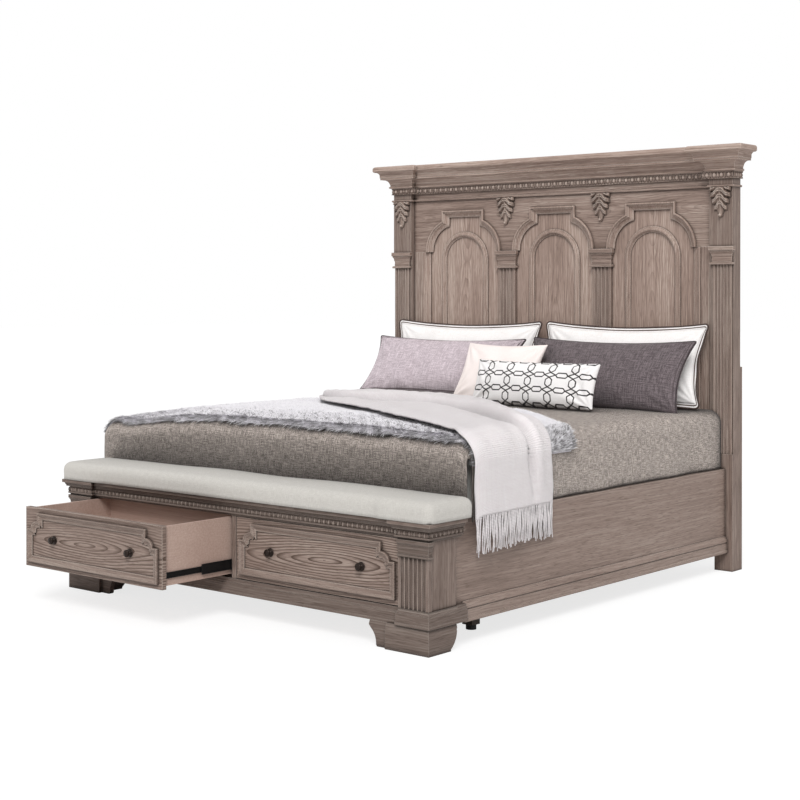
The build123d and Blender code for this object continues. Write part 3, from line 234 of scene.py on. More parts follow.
def year_rings(group, place, tone):
    """Dark share of the year rings, stronger where the tone is high.

    A ring is where the distance from the trunk's line is a whole number of ring widths; the line runs
    along X at a slope through the board, so that on a face square to Y the rings show as pointed arcs.
    """
    parts = add(group, "ShaderNodeSeparateXYZ", {0: place}).outputs
    along = math_of(group, "MULTIPLY", math_of(group, "PINGPONG", parts[0], FLAME_REPEAT), TRUNK_SLOPE)
    across = math_of(group, "PINGPONG", parts[2], BOARD_REPEAT)
    from_line = add(group, "ShaderNodeCombineXYZ", {0: along, 1: across}).outputs[0]
    radius = vector_of(group, "LENGTH", from_line)
    wobble = math_of(group, "MULTIPLY", noise(group, place, (2.5, 12, 12)), RING_WOBBLE)
    rings = math_of(group, "FRACT", math_of(group, "MULTIPLY_ADD", radius, RINGS_PER_METRE, wobble))
    patchy = ramp(group, tone, 0.3, 0.6, 0.35, 1.0)
    return math_of(group, "MULTIPLY", ramp(group, rings, 0.50, 0.96), patchy)


def make_oak_group():
    """Oak with its grain along X: streaks of stretched noise, year rings, and short dark pores."""
    group, given, out = new_group(
        "oak_grain",
        [("Vector", "Vector", None), ("Dark", "Color", paint(86, 69, 60)),
         ("Middle", "Color", paint(146, 127, 117)), ("Light", "Color", paint(186, 171, 160)),
         ("Figure", "Float", 0.3), ("Contrast", "Float", 1.0)],
        [("Color", "Color"), ("Height", "Float")])
    sway = noise(group, given["Vector"], (0.9, 3, 3), 1.0)
    swing = math_of(group, "MULTIPLY_ADD", sway, 0.06, -0.03)
    shift = add(group, "ShaderNodeCombineXYZ", {1: swing, 2: swing}).outputs[0]
    place = vector_of(group, "ADD", given["Vector"], shift)
    tone = noise(group, place, (0.8, 6, 6))
    streak = noise(group, place, (1.6, 110, 110), 3.0, 0.6)
    fine = noise(group, place, (8, 340, 340), 2.0, 0.6)
    pore = ramp(group, noise(group, place, (20, 420, 420), 1.0), 0.58, 0.70)
    mixed = math_of(group, "MULTIPLY_ADD", streak, 0.42, math_of(group, "MULTIPLY", tone, 0.3))
    mixed = math_of(group, "MULTIPLY_ADD", fine, 0.38, mixed)
    lit = math_of(group, "SUBTRACT", ramp(group, mixed, 0.42, 0.68), 0.5)
    lit = math_of(group, "MULTIPLY_ADD", lit, given["Contrast"], 0.5)
    low = blend_colour(group, ramp(group, lit, 0.0, 0.5), given["Dark"], given["Middle"])
    colour = blend_colour(group, ramp(group, lit, 0.5, 1.0), low, given["Light"])
    figure = math_of(group, "MULTIPLY", year_rings(group, place, tone), given["Figure"])
    colour = blend_colour(group, figure, colour, given["Dark"])
    colour = blend_colour(group, math_of(group, "MULTIPLY", pore, 0.5), colour, given["Dark"])
    group.links.new(colour, out["Color"])
    rough = math_of(group, "MULTIPLY_ADD", pore, -0.8, fine)
    rough = math_of(group, "SUBTRACT", rough, math_of(group, "MULTIPLY", figure, 0.5))
    group.links.new(rough, out["Height"])
    return group


def make_edges_and_grooves_group():
    """Paler edges where the rounded and the true normal part, as wear and painted highlight; darker
    grooves where little sky reaches, as glazing and painted shade.
    """
    group, given, out = new_group(
        "edges_and_grooves", [("Edge radius", "Float", 0.005), ("Groove reach", "Float", 0.034)],
        [("Wear_and_highlight", "Float"), ("Glaze_and_shade", "Float"), ("Normal", "Vector")])
    rounded = add(group, "ShaderNodeBevel", {"Radius": given["Edge radius"]}, samples=4).outputs[0]
    true = add(group, "ShaderNodeNewGeometry").outputs["Normal"]
    same = vector_of(group, "DOT_PRODUCT", rounded, true)
    group.links.new(ramp(group, same, 0.99, 0.82), out["Wear_and_highlight"])
    dark = add(group, "ShaderNodeAmbientOcclusion", {"Distance": given["Groove reach"]}, samples=6)
    group.links.new(ramp(group, dark.outputs["AO"], 0.88, 0.38), out["Glaze_and_shade"])
    group.links.new(rounded, out["Normal"])
    return group


OAK_GRAIN = make_oak_group()
EDGES_AND_GROOVES = make_edges_and_grooves_group()
TURNS = {"X": (0, 0, 0), "Y": (0, 0, math.radians(-90)), "Z": (0, math.radians(90), 0)}


def grained(tree, place, along, shift, inputs):
    """The outputs of the grain group, turned so that its grain runs along an axis, and shifted."""
    turned = add(tree, "ShaderNodeMapping", {"Vector": place, "Location": shift, "Rotation": TURNS[along]})
    return add(tree, "ShaderNodeGroup", {"Vector": turned.outputs[0], **inputs}, node_tree=OAK_GRAIN).outputs


def oak(name, along, figure=0.3, tone_and_light=1.0, shift=(0, 0, 0), glaze_and_shade=0.9, reach=0.034, contrast=1.0):
    """Oak with its grain along an axis.

    Figure brings out cathedral rings. The lightness factor lightens or darkens the whole piece: partly
    its tone, partly painted light above 1 and painted shade below 1 for how light falls on that part.
    Contrast parts the pale and dark streaks. The groove factor is how much dark stays in grooves up to
    a reach: partly glazing, partly painted shade where little sky reaches. A board that runs along X is
    returned round a corner along Y, so where a face looks more towards X than Y the grain turns too.
    """
    material, tree, shader = new_material(name)
    place = add(tree, "ShaderNodeTexCoord").outputs["Object"]
    if along == "X":
        normal = add(tree, "ShaderNodeNewGeometry").outputs["Normal"]
        faces = add(tree, "ShaderNodeSeparateXYZ", {0: normal}).outputs
        to_side, to_front = [math_of(tree, "ABSOLUTE", faces[i]) for i in (0, 1)]
        sideways = math_of(tree, "GREATER_THAN", to_side, math_of(tree, "ADD", to_front, 0.2))
        angle = math_of(tree, "MULTIPLY", sideways, -math.pi / 2)
        inputs = {"Vector": place, "Angle": angle}
        place = add(tree, "ShaderNodeVectorRotate", inputs, rotation_type="Z_AXIS").outputs[0]
    wood = grained(tree, place, along, shift, {"Figure": figure, "Contrast": contrast})
    edges_and_grooves = add(tree, "ShaderNodeGroup", {"Groove reach": reach}, node_tree=EDGES_AND_GROOVES).outputs
    # Paler edges: partly wear, partly a painted highlight.
    rubbed_and_highlit = math_of(tree, "MULTIPLY", edges_and_grooves["Wear_and_highlight"], 0.6)
    colour = blend_colour(tree, rubbed_and_highlit, wood["Color"], RUBBED_AND_HIGHLIGHT_COLOUR)
    # Darker grooves: partly glazing, partly painted shade where little sky reaches.
    shaded_and_glazed = math_of(tree, "MULTIPLY", edges_and_grooves["Glaze_and_shade"], glaze_and_shade)
    colour = blend_colour(tree, shaded_and_glazed, colour, GLAZE_AND_SHADE_COLOUR)
    feed(tree, shader, {
        "Base Color": add(tree, "ShaderNodeHueSaturation", {"Value": tone_and_light, "Color": colour}).outputs[0],
        "Specular IOR Level": 0.3,
        "Roughness": ramp(tree, wood["Height"], 0.0, 1.0, 0.66, 0.5),
        "Normal": bump(tree, wood["Height"], strength=0.35, distance=0.0006, Normal=edges_and_grooves["Normal"])})
    return material


def dress(material, *names):
    """Gives CAD nodes their material."""
    for name in names:
        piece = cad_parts[name]
        piece.data.materials.clear()
        piece.data.materials.append(material)


# Headboard. Two fluted posts with capitals, two fluted mullions, upright-grained panels and stiles, a
# spandrel board sawn to three stepped arches with applied mouldings, a frieze and a stepped crown.
# Each oak is tinted partly for its tone and partly as painted light and shade: the panels, trim and crown are
# tinted lighter as painted light, the posts darker as painted shade.
dress(oak("oak_upright", "Z", tone_and_light=1.06, reach=0.018, contrast=0.8), "headboard_stiles")
dress(oak("oak_post", "Z", tone_and_light=0.80, reach=0.018, contrast=0.6),
      "headboard_post_left", "headboard_post_right")
dress(oak("oak_fluted", "Z", tone_and_light=0.98, glaze_and_shade=0.5, reach=0.016, contrast=0.6),
      "post_pilasters", "headboard_mullions")
dress(oak("oak_trim", "Z", tone_and_light=1.24, glaze_and_shade=0.9, reach=0.010, contrast=0.5),
      "arch_inner_mouldings", "arch_outer_mouldings")
dress(oak("oak_panel", "Z", figure=0.5, tone_and_light=1.34, reach=0.014, contrast=0.6), "arch_panels")
dress(oak("oak_across", "X", figure=0.45, tone_and_light=1.08, reach=0.020, contrast=0.6),
      "spandrel_board", "headboard_back_rails", "headboard_frieze", "post_capitals", "mullion_capitals")
dress(oak("oak_crown", "X", tone_and_light=1.36, reach=0.014, contrast=0.6), "crown_moulding")


# Carved bands. A strip of egg-and-dart, cut in the solid: under the crown, and round the footboard
# over the drawers. Each egg sits in a hollow cup between two narrow darts.
def new_mesh(name, points, faces, flats):
    """A mesh of quads over points, with each corner's place on the flat cut in its map."""
    mesh = bpy.data.meshes.new(name)
    mesh.from_pydata(points.tolist(), [], faces.tolist())
    corners = flats[faces.ravel()].astype(np.float32).ravel()
    mesh.uv_layers.new(name="flat").data.foreach_set("uv", corners)
    return mesh


def placed(mesh, name, material, body):
    """Makes a mesh a smooth piece of the scene that rides on a body."""
    mesh.polygons.foreach_set("use_smooth", np.ones(len(mesh.polygons), bool))
    mesh.materials.append(material)
    made = bpy.data.objects.new(name, mesh)
    scene.collection.objects.link(made)
    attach(made, body)
    return made


def skin(name, patches, material, body="bed", keep=None, closed=False):
    """One smooth mesh over grids of points; each patch is (points[n, m, 3], flat places[n, m, 2])."""
    points, faces, flats, start = [], [], [], 0
    for grid, flat in patches:
        rows, columns = grid.shape[:2]
        index = start + np.arange(rows * columns).reshape(rows, columns)
        quads = np.stack([index[:-1, :-1], index[1:, :-1], index[1:, 1:], index[:-1, 1:]], -1).reshape(-1, 4)
        if keep is not None:
            quads = quads[keep.reshape(-1)]
        points.append(grid.reshape(-1, 3))
        flats.append(flat.reshape(-1, 2))
        faces.append(quads)
        start += rows * columns
    mesh = new_mesh(name, *[np.concatenate(lists) for lists in (points, faces, flats)])
    worked = bmesh.new()
    worked.from_mesh(mesh)
    bmesh.ops.remove_doubles(worked, verts=worked.verts, dist=0.00002)
    bmesh.ops.dissolve_degenerate(worked, dist=0.000001, edges=worked.edges)
    loose = [v for v in worked.verts if not v.link_faces]
    bmesh.ops.delete(worked, geom=loose, context="VERTS")
    if closed:
        bmesh.ops.recalc_face_normals(worked, faces=worked.faces)
    worked.to_mesh(mesh)
    worked.free()
    return placed(mesh, name, material, body)


def unit(vectors):
    """Vectors brought to length 1."""
    return vectors / np.maximum(np.linalg.norm(vectors, axis=-1, keepdims=True), 1e-9)


def thicken(piece, thickness, offset):
    """Gives a sheet its thickness; an offset of -1 lays all of it below, 0 half on either side."""
    made = piece.modifiers.new("thickness", "SOLIDIFY")
    made.thickness, made.offset = thickness, offset


def egg_and_dart(place, height, pitch, proud):
    """Outward height over (s along, t up): half ellipsoid eggs, a cup ring round each, darts between."""
    s, t = place
    across = (s / pitch - np.round(s / pitch)) * 2
    up = (t / height - 0.48) * 2
    round_egg = 1 - (across / 0.52) ** 2 - (up / 0.74) ** 2
    egg = 0.95 * np.sqrt(np.clip(round_egg, 0, 1))
    ring_gap = np.hypot(across / 0.78, up) - 1
    cup = 0.75 * np.exp(-(ring_gap / 0.13) ** 2)
    dart = 0.85 * np.clip(1 - (1 - np.abs(across)) / (0.16 * (0.4 + t / height)), 0, 1)
    rails = np.exp(-((np.abs(up) - 1) / 0.09) ** 2)
    raised = np.maximum(np.maximum(egg, cup), np.maximum(dart, rails))
    return proud * (0.15 + 0.85 * raised)


def carve_band(name, node, right_side, base, sizes, material):
    """Band along a level route and its mirror image: a grid of (s, t) a stretch, pushed out of its face."""
    height, pitch, proud = sizes
    route = right_side + [(-x, y) for x, y in right_side[::-1]]
    patches = []
    for (x0, y0), (x1, y1) in zip(route, route[1:]):
        length = math.hypot(x1 - x0, y1 - y0)
        along = np.array([(x1 - x0) / length, (y1 - y0) / length])
        out = np.array([-along[1], along[0]])
        eggs = max(1, round(length / pitch))
        s = np.linspace(-proud, length + proud, eggs * 12 + 1)
        t = np.linspace(0, height, 11)
        s, t = np.meshgrid(s, t, indexing="ij")
        raised = egg_and_dart((s - length / eggs / 2, t), height, length / eggs, proud)
        inside = np.clip(s, -raised, length + raised)
        places = np.stack([x0 + along[0] * inside + out[0] * raised,
                           y0 + along[1] * inside + out[1] * raised, base + t], -1)
        patches.append((places, np.stack([raised / proud, t], -1)))
        for edge in (0, -1):
            rim = places[:, edge]
            back = rim - np.append(out, 0) * raised[:, edge][:, None]
            strip = np.stack([rim, back] if edge == 0 else [back, rim], 1)
            patches.append((strip, np.stack([0.6 + 0 * s[:, :2], t[:, :2]], -1)))
    made = skin(name, patches, material)
    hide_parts(node)


def carved(name, along, tone_and_light, strength=1.0):
    """Oak whose carving, by the first value of the flat map, is darker deep down, partly glazing and
    partly painted shade, and paler high up, partly rubbing and partly painted highlight.

    The strength sets how much of both shows.
    """
    material = oak(name, along, tone_and_light=tone_and_light, glaze_and_shade=0.5, reach=0.008)
    tree, shader, plain = painted(material)
    relief = flat_place(tree)[0]
    # Deep carving darker, partly glazing and partly painted shade; high carving paler, partly rubbing and
    # partly painted highlight.
    deep = ramp(tree, relief, 0.55, 0.15, 0.0, 0.9 * strength)
    high = ramp(tree, relief, 0.70, 1.0, 0.0, 0.5 * strength)
    shaded_and_glazed = blend_colour(tree, deep, plain, GLAZE_AND_SHADE_COLOUR)
    tree.links.new(blend_colour(tree, high, shaded_and_glazed, RUBBED_AND_HIGHLIGHT_COLOUR), shader.inputs["Base Color"])
    return material


# Of each band: its height, the width of an egg, and how far it stands out.
CROWN_BAND = 0.036, 0.036, 0.012
FOOT_BAND = 0.035, 0.0245, 0.011
CROWN_RETURN, FOOT_RETURN = 0.030, 0.017
FOOT_POST_WIDTH, FOOT_BAND_REAR, FOOT_BAND_DROP = 0.144, 0.024, 0.008

# The crown band's oak is tinted lighter, as painted light, and the foot band's darker, as painted shade,
# besides their tone.
low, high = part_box("headboard_post_right")
inner = low.x - CROWN_RETURN
route = [(high.x, high.y - 0.020), (high.x, low.y), (inner, low.y), (inner, low.y + CROWN_RETURN)]
carve_band("crown_egg_and_dart", "crown_carved_band", route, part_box("crown_carved_band")[0].z,
           CROWN_BAND, carved("oak_carved", "X", tone_and_light=1.08))
low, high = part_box("foot_pilasters")
inner, rear = high.x - FOOT_POST_WIDTH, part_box("foot_posts")[1].y + FOOT_BAND_REAR
route = [(high.x, rear), (high.x, low.y), (inner, low.y), (inner, low.y + FOOT_RETURN)]
carve_band("foot_egg_and_dart", "foot_carved_band", route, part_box("foot_carved_band")[0].z - FOOT_BAND_DROP,
           FOOT_BAND, carved("oak_foot_carved", "X", tone_and_light=0.66, strength=0.5))


# Acanthus corbels. Four leaf brackets under the frieze, two on the posts and two over the mullions,
# carved in solid oak with a rounded tip, a raised midrib and scalloped lobes.
def corbel_grid(width, height, proud):
    """Acanthus leaf over (u across, v down): body, midrib, four pairs of lobes and a bead at the tip.

    A lobe is a ridge sqrt(1 - d^2) along a line that leaves the midrib and bends out and down; the
    relief is the greatest of all these, times an S-shaped side curve that swells at the top and tip.
    """
    u, v = np.meshgrid(np.linspace(-1, 1, 61), np.linspace(0, 1, 81), indexing="ij")
    side = proud * np.interp(v, [0, 0.06, 0.18, 0.4, 0.68, 0.84, 0.93, 1.0],
                             [0.82, 0.98, 0.97, 0.80, 0.56, 0.66, 0.74, 0.30])
    heights = [0, 0.12, 0.35, 0.6, 0.8, 0.93, 1.0]
    widths = [0.94, 1.0, 0.92, 0.72, 0.52, 0.25, 0.05]
    away = np.abs(u)
    body = away / (0.72 * np.interp(v, heights, widths))
    midrib = 0.86 * np.exp(-(u / 0.06) ** 2) * (v < 0.92)
    relief = np.maximum(0.50 * np.sqrt(np.clip(1 - body ** 2, 0, 1)), midrib)
    for top in LOBE_TOPS:
        reach = np.interp(top + 0.2, heights, widths)
        out = away / reach
        from_line = (v - top - 0.22 * out ** 1.5 + 0.024 * np.sin(out * 8)) / (0.125 - 0.040 * out)
        vein = 0.10 + 0.13 * np.cos(from_line * 9) + 0.10 * np.cos(out * 13 + top * 20) * away
        ridge = np.sqrt(np.clip(1 - from_line ** 2, 0, 1)) * np.clip((1.02 - out) / 0.14, 0, 1) ** 0.5
        relief = np.maximum(relief, ridge * (0.80 + 0.20 * np.sin(np.pi * np.clip(out, 0, 1)) - vein))
    bead = np.sqrt(np.clip(1 - (u / 0.20) ** 2 - ((v - 0.92) / 0.078) ** 2, 0, 1))
    relief = np.maximum(relief, bead)
    places = np.stack([u * width / 2, 0.002 - side * relief, -v * height], -1)
    return places, np.stack([relief, v], -1)


LEAF_WIDTH, LEAF_PROUD = 0.112, 0.032
LOBE_TOPS = -0.12, 0.09, 0.30, 0.52
POST_MIDDLE, MULLION_MIDDLE = 0.062, 0.295

low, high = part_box("acanthus_corbels")
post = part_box("headboard_post_right")[0]
walls = [(post.x + POST_MIDDLE, post.y), (MULLION_MIDDLE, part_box("spandrel_board")[0].y)]
leaf, flat = corbel_grid(LEAF_WIDTH, high.z - low.z, LEAF_PROUD)
patches = [(leaf + np.array([side * x, wall, high.z]), flat) for x, wall in walls for side in (-1, 1)]
# The leaves' oak is tinted lighter: partly tone, partly painted light.
corbels = skin("acanthus_leaves", patches, carved("oak_leaf", "Z", tone_and_light=1.12))
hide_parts("acanthus_corbels")

# Side rails and the slatted platform. Rails are oak boards hung on angle brackets; cleats, slats and
# centre beam are planed softwood below the mattress, and the legs are stained dark.
# The rails' oak is tinted a little darker: partly tone, partly painted shade.
dress(oak("oak_lengthwise", "Y", figure=0.1, tone_and_light=0.88, contrast=0.4),
      "side_rail_left", "side_rail_right", "rail_mouldings")


def plain_wood(name, along, dark, light):
    """Bare planed wood in two tones, with the same grain group."""
    material, tree, shader = new_material(name)
    place = add(tree, "ShaderNodeTexCoord").outputs["Object"]
    middle = tuple((a + b) / 2 for a, b in zip(dark, light))
    wood = grained(tree, place, along, (0, 0, 0), {"Dark": dark, "Middle": middle, "Light": light})
    feed(tree, shader, {"Base Color": wood["Color"],
                        "Roughness": ramp(tree, wood["Height"], 0, 1, 0.72, 0.55),
                        "Normal": bump(tree, wood["Height"], strength=0.2, distance=0.0004)})
    return material


PINE_DARK, PINE_LIGHT = paint(186, 150, 108), paint(224, 198, 158)
dress(plain_wood("pine_across", "X", PINE_DARK, PINE_LIGHT), "bed_slats")
dress(plain_wood("pine_lengthwise", "Y", PINE_DARK, PINE_LIGHT), "slat_cleats", "centre_beam")
dress(plain_wood("stained_upright", "Z", paint(58, 48, 42), paint(78, 66, 58)), "support_legs")


# Metal and plastic. Zinc-plated rail brackets, black drawer slides, dark bronzed knobs and moulded
# black glides under the middle legs.
def worn_metal(name, colour, worn_colour, metallic, roughness):
    """Metal whose edges are rubbed to a second colour, with small handling marks in the gloss."""
    material, tree, shader = new_material(name)
    edges_and_grooves = add(tree, "ShaderNodeGroup", {"Edge radius": 0.0012}, node_tree=EDGES_AND_GROOVES).outputs
    marks = noise(tree, add(tree, "ShaderNodeTexCoord").outputs["Object"], (60, 60, 60), 4.0, 0.6)
    rubbed = math_of(tree, "MULTIPLY", edges_and_grooves["Wear_and_highlight"], ramp(tree, marks, 0.35, 0.65))
    feed(tree, shader, {"Base Color": blend_colour(tree, rubbed, colour, worn_colour),
                        "Metallic": metallic,
                        "Roughness": ramp(tree, marks, 0.3, 0.7, roughness - 0.08, roughness + 0.1),
                        "Normal": edges_and_grooves["Normal"]})
    return material


dress(worn_metal("zinc", paint(176, 178, 178), paint(214, 214, 212), metallic=1.0, roughness=0.42),
      "rail_hook_brackets")
dress(worn_metal("slide_black", paint(30, 30, 31), paint(112, 112, 112), metallic=0.6, roughness=0.4),
      "slide_outer_members", "left_drawer_slide_inner", "right_drawer_slide_inner",
      "left_drawer_slide_middle", "right_drawer_slide_middle")
dress(worn_metal("glide_black", paint(32, 32, 33), paint(60, 60, 60), metallic=0.0, roughness=0.55),
      "leg_glides")

# Footboard. Fluted corner posts with capitals on bracket feet, a moulded base, the header over the
# drawers and the stepped board that carries the bench cushion.
# The footboard's oaks are tinted darker than the headboard's, the base and feet most: partly tone, partly
# painted shade on the front of the footboard.
dress(oak("oak_foot", "Z", tone_and_light=0.72, glaze_and_shade=0.9, reach=0.024, contrast=0.6),
      "foot_posts", "foot_pilasters", "drawer_divider")
dress(oak("oak_base", "X", tone_and_light=0.52, shift=(0.3, 0.1, 0.7), contrast=0.5),
      "drawer_header", "base_moulding", "foot_capitals")
dress(oak("oak_bench_board", "X", tone_and_light=0.66, shift=(0.5, 0.2, 0.1), contrast=0.5), "bench_board")
dress(oak("oak_feet", "X", tone_and_light=0.52, shift=(0.9, 0.4, 0.2), contrast=0.5), "bracket_feet")
dress(plain_wood("drawer_inside", "X", paint(166, 140, 128), paint(190, 166, 154)),
      "drawer_case", "case_floor", "left_drawer_bottom", "right_drawer_bottom",
      "left_drawer_box", "right_drawer_box")

# Drawers. Flat-sawn fronts with cathedral figure and applied mitred frames; boxes and a case in a
# pale stained wood; two turned, dark bronzed knobs on each front.
# The fronts and frames are tinted a little darker: partly tone, partly painted shade.
dress(oak("oak_front", "X", figure=1.2, tone_and_light=0.92, shift=(0.5, 0.0, -0.291), reach=0.024, contrast=0.5),
      "left_drawer_front", "right_drawer_front")
dress(oak("oak_frame", "X", tone_and_light=0.84, glaze_and_shade=1.0, reach=0.024, contrast=0.5),
      "left_drawer_front_moulding", "right_drawer_front_moulding")


def turned_grid(profile, centre, sides=40):
    """A knob about an axis towards the foot: its (radius, out) profile turned through a full circle."""
    radius, out = np.array(profile, float).T[:, :, None]
    angle = np.linspace(0, 2 * np.pi, sides + 1)
    x = centre[0] + radius * np.cos(angle)
    y = centre[1] - out + 0 * angle
    z = centre[2] + radius * np.sin(angle)
    return np.stack([x, y, z], -1), np.stack([radius * angle, out + 0 * angle], -1)


# Radius and distance out of the front, from the plate to the middle of the knob's face.
KNOB_PROFILE = [(0, 0), (0.0172, 0), (0.0172, 0.0018), (0.0155, 0.0032), (0.0125, 0.0034), (0.0115, 0.0044),
                (0.0072, 0.0056), (0.0056, 0.0085), (0.0054, 0.0115), (0.0075, 0.0138), (0.0122, 0.0152),
                (0.0142, 0.0164), (0.0150, 0.0186), (0.0149, 0.0208), (0.0138, 0.0228), (0.0120, 0.0240),
                (0.0112, 0.0236), (0.0098, 0.0242), (0.0068, 0.0258), (0.0034, 0.0268), (0, 0.0270)]
KNOB_HALF_WIDTH = 0.01725
BRONZE = worn_metal("dark_bronze", paint(48, 40, 36), paint(122, 98, 76), metallic=0.85, roughness=0.36)
for side in ("left", "right"):
    low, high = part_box(f"{side}_drawer_knobs")
    middles = low.x + KNOB_HALF_WIDTH, high.x - KNOB_HALF_WIDTH
    patches = [turned_grid(KNOB_PROFILE, (x, high.y, (low.z + high.z) / 2)) for x in middles]
    knobs = skin(f"{side}_turned_knobs", patches, BRONZE, body=f"{side}_drawer", closed=True)
    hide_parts(f"{side}_drawer_knobs")


# Cloth. One weave group serves every cloth: crossed threads over the flat places of the cut, with
# slubs, thread-to-thread colour and a soft fuzz in the sheen.
def make_weave_group():
    """Crossed threads: each thread is a sine ridge, warp over weft in turn; slubs are stretched noise."""
    group, given, out = new_group(
        "weave",
        [("Flat", "Vector", None), ("Pitch", "Float", 0.002), ("Warp", "Color", (0.5, 0.5, 0.5, 1)),
         ("Weft", "Color", (0.4, 0.4, 0.4, 1)), ("Slub", "Float", 0.5)],
        [("Color", "Color"), ("Height", "Float")])
    per_pitch = math_of(group, "DIVIDE", 1.0, given["Pitch"])
    threads = vector_of(group, "SCALE", given["Flat"], scale=per_pitch)
    parts = add(group, "ShaderNodeSeparateXYZ", {0: threads}).outputs
    ridge_u, ridge_v = [math_of(group, "SINE", math_of(group, "MULTIPLY", parts[i], 2 * math.pi))
                        for i in (0, 1)]
    slub_u, slub_v = [noise(group, threads, stretch, 4.0, 0.75)
                      for stretch in ((0.55, 0.035, 1), (0.035, 0.55, 1))]
    over = math_of(group, "MULTIPLY_ADD", math_of(group, "MULTIPLY", ridge_u, ridge_v), 0.5, 0.5)
    lean = math_of(group, "SUBTRACT", slub_u, slub_v)
    uneven = math_of(group, "MULTIPLY", lean, math_of(group, "MULTIPLY", given["Slub"], 6.4))
    share = math_of(group, "ADD", uneven, over, clamp=True)
    colour = blend_colour(group, share, given["Weft"], given["Warp"])
    spread = math_of(group, "MULTIPLY", math_of(group, "ABSOLUTE", lean), given["Slub"])
    colour = blend_colour(group, math_of(group, "MULTIPLY", spread, 2.0, clamp=True), colour, given["Warp"])
    group.links.new(colour, out["Color"])
    tall = math_of(group, "MULTIPLY_ADD", math_of(group, "MAXIMUM", ridge_u, ridge_v), 0.5, 0.5)
    group.links.new(math_of(group, "MULTIPLY_ADD", lean, given["Slub"], tall), out["Height"])
    return group


WEAVE = make_weave_group()


def cloth(name, pitch, warp, weft, slub, relief=0.4, sheen=0.2, depth=0.0005):
    """A woven cloth in two thread colours over the piece's flat map."""
    material, tree, shader = new_material(name)
    flat = add(tree, "ShaderNodeUVMap", uv_map="flat").outputs[0]
    given = {"Flat": flat, "Pitch": pitch, "Warp": warp, "Weft": weft, "Slub": slub}
    weave = add(tree, "ShaderNodeGroup", given, node_tree=WEAVE).outputs
    feed(tree, shader, {"Base Color": weave["Color"], "Roughness": 0.92, "Specular IOR Level": 0.2,
                        "Sheen Weight": sheen, "Sheen Roughness": 0.5,
                        "Normal": bump(tree, weave["Height"], relief, depth)})
    return material


def shaded_low(material, reach, least):
    """Paints shade into a cloth's colour: darkens it towards a least share where little sky reaches it
    within a distance.
    """
    tree, shader, plain = painted(material)
    open_sky = add(tree, "ShaderNodeAmbientOcclusion", {"Distance": reach}, samples=6).outputs["AO"]
    share = ramp(tree, open_sky, 0.55, 0.90, least, 1.0)
    darker = add(tree, "ShaderNodeHueSaturation", {"Value": share, "Color": plain})
    tree.links.new(darker.outputs[0], shader.inputs["Base Color"])


def ripples(x, y, scale, count, seed):
    """Smooth unevenness: sine waves of random direction about one length, added and divided by the
    root of their count."""
    drawn = np.random.default_rng(seed)
    total = 0 * x
    for _ in range(count):
        angle, phase = drawn.uniform(0, 2 * np.pi, 2)
        length = scale * drawn.uniform(0.6, 1.8)
        total = total + np.sin((x * np.cos(angle) + y * np.sin(angle)) * 2 * np.pi / length + phase)
    return total / np.sqrt(count)


# Bench cushion. One long foam pad covered in off-white linen, a little fuller along the middle of
# its top; its ends stand slightly further forward, over the corner posts.
def stuffed_box(low, high, radius, step):
    """Six face grids of a box; each point is the nearest point of the inner box plus a radius outwards."""
    low, high = np.array(low, float), np.array(high, float)
    inner_low, inner_high = low + radius, high - radius
    patches = []
    for axis in range(3):
        a, b = [i for i in range(3) if i != axis]
        for value, order in ((low[axis], 1), (high[axis], -1)):
            u = np.linspace(low[a], high[a], max(3, round((high[a] - low[a]) / step)))
            v = np.linspace(low[b], high[b], max(3, round((high[b] - low[b]) / step)))
            u, v = np.meshgrid(u, v, indexing="ij")
            points = np.zeros(u.shape + (3,))
            points[..., a], points[..., b], points[..., axis] = u, v, value
            inner = np.clip(points, inner_low, inner_high)
            points = inner + unit(points - inner) * radius
            patches.append((points[::order], np.stack([u, v], -1)[::order]))
    return patches


def crowned(patches, low, high, crown, tuck):
    """Raises the top by crown times (1 - x^4)(1 - y^2) and draws the sides in by tuck near the base."""
    made = []
    middle, half = (np.array(low) + np.array(high)) / 2, (np.array(high) - np.array(low)) / 2
    for points, flat in patches:
        share = (points - middle) / half
        lift = np.clip(share[..., 2], -1, 1) * 0.5 + 0.5
        dome = np.clip(1 - share[..., 0] ** 4, 0, 1) * np.clip(1 - share[..., 1] ** 2, 0, 1)
        points = points.copy()
        points[..., 2] += crown * lift * dome
        points[..., 1] -= tuck * share[..., 1] * (1 - lift) ** 3
        points[..., 0] -= tuck * share[..., 0] * (1 - lift) ** 3
        made.append((points, flat))
    return made


BENCH_CROWN, BENCH_TUCK, BENCH_RADIUS = 0.010, 0.001, 0.036
BULGE = 0.003
BLOCK_START, BLOCK_STEP = 0.800, 0.010

low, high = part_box("bench_cushion")
bottom = (low.x - BULGE, low.y - BULGE, low.z - 0.030)
top = (high.x + BULGE, high.y - 0.0035, high.z - BENCH_CROWN)
patches = [(np.maximum(points, (-9, -9, low.z)), flat)
           for points, flat in stuffed_box(bottom, top, BENCH_RADIUS, 0.014)]
patches = crowned(patches, low, high, BENCH_CROWN, BENCH_TUCK)
for points, flat in patches:
    set_back = BLOCK_STEP / (1 + np.exp((np.abs(points[..., 0]) - BLOCK_START) / 0.006))
    points[..., 1] += set_back * np.clip((high.y - points[..., 1]) / 0.2, 0, 1)
    swell = ripples(points[..., 0], points[..., 1], scale=0.5, count=9, seed=3) * 0.0016
    points[..., 2] += swell * np.clip((points[..., 2] - low.z) / 0.06, 0, 1)
LINEN = cloth("bench_linen", 0.0012, paint(203, 200, 194), paint(181, 177, 171), slub=0.5, relief=0.3)
# Painted shade: the cushion darkens low down, where little sky reaches.
shaded_low(LINEN, reach=0.22, least=0.55)
bench = skin("bench_pad", patches, LINEN, closed=True)
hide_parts("bench_cushion")

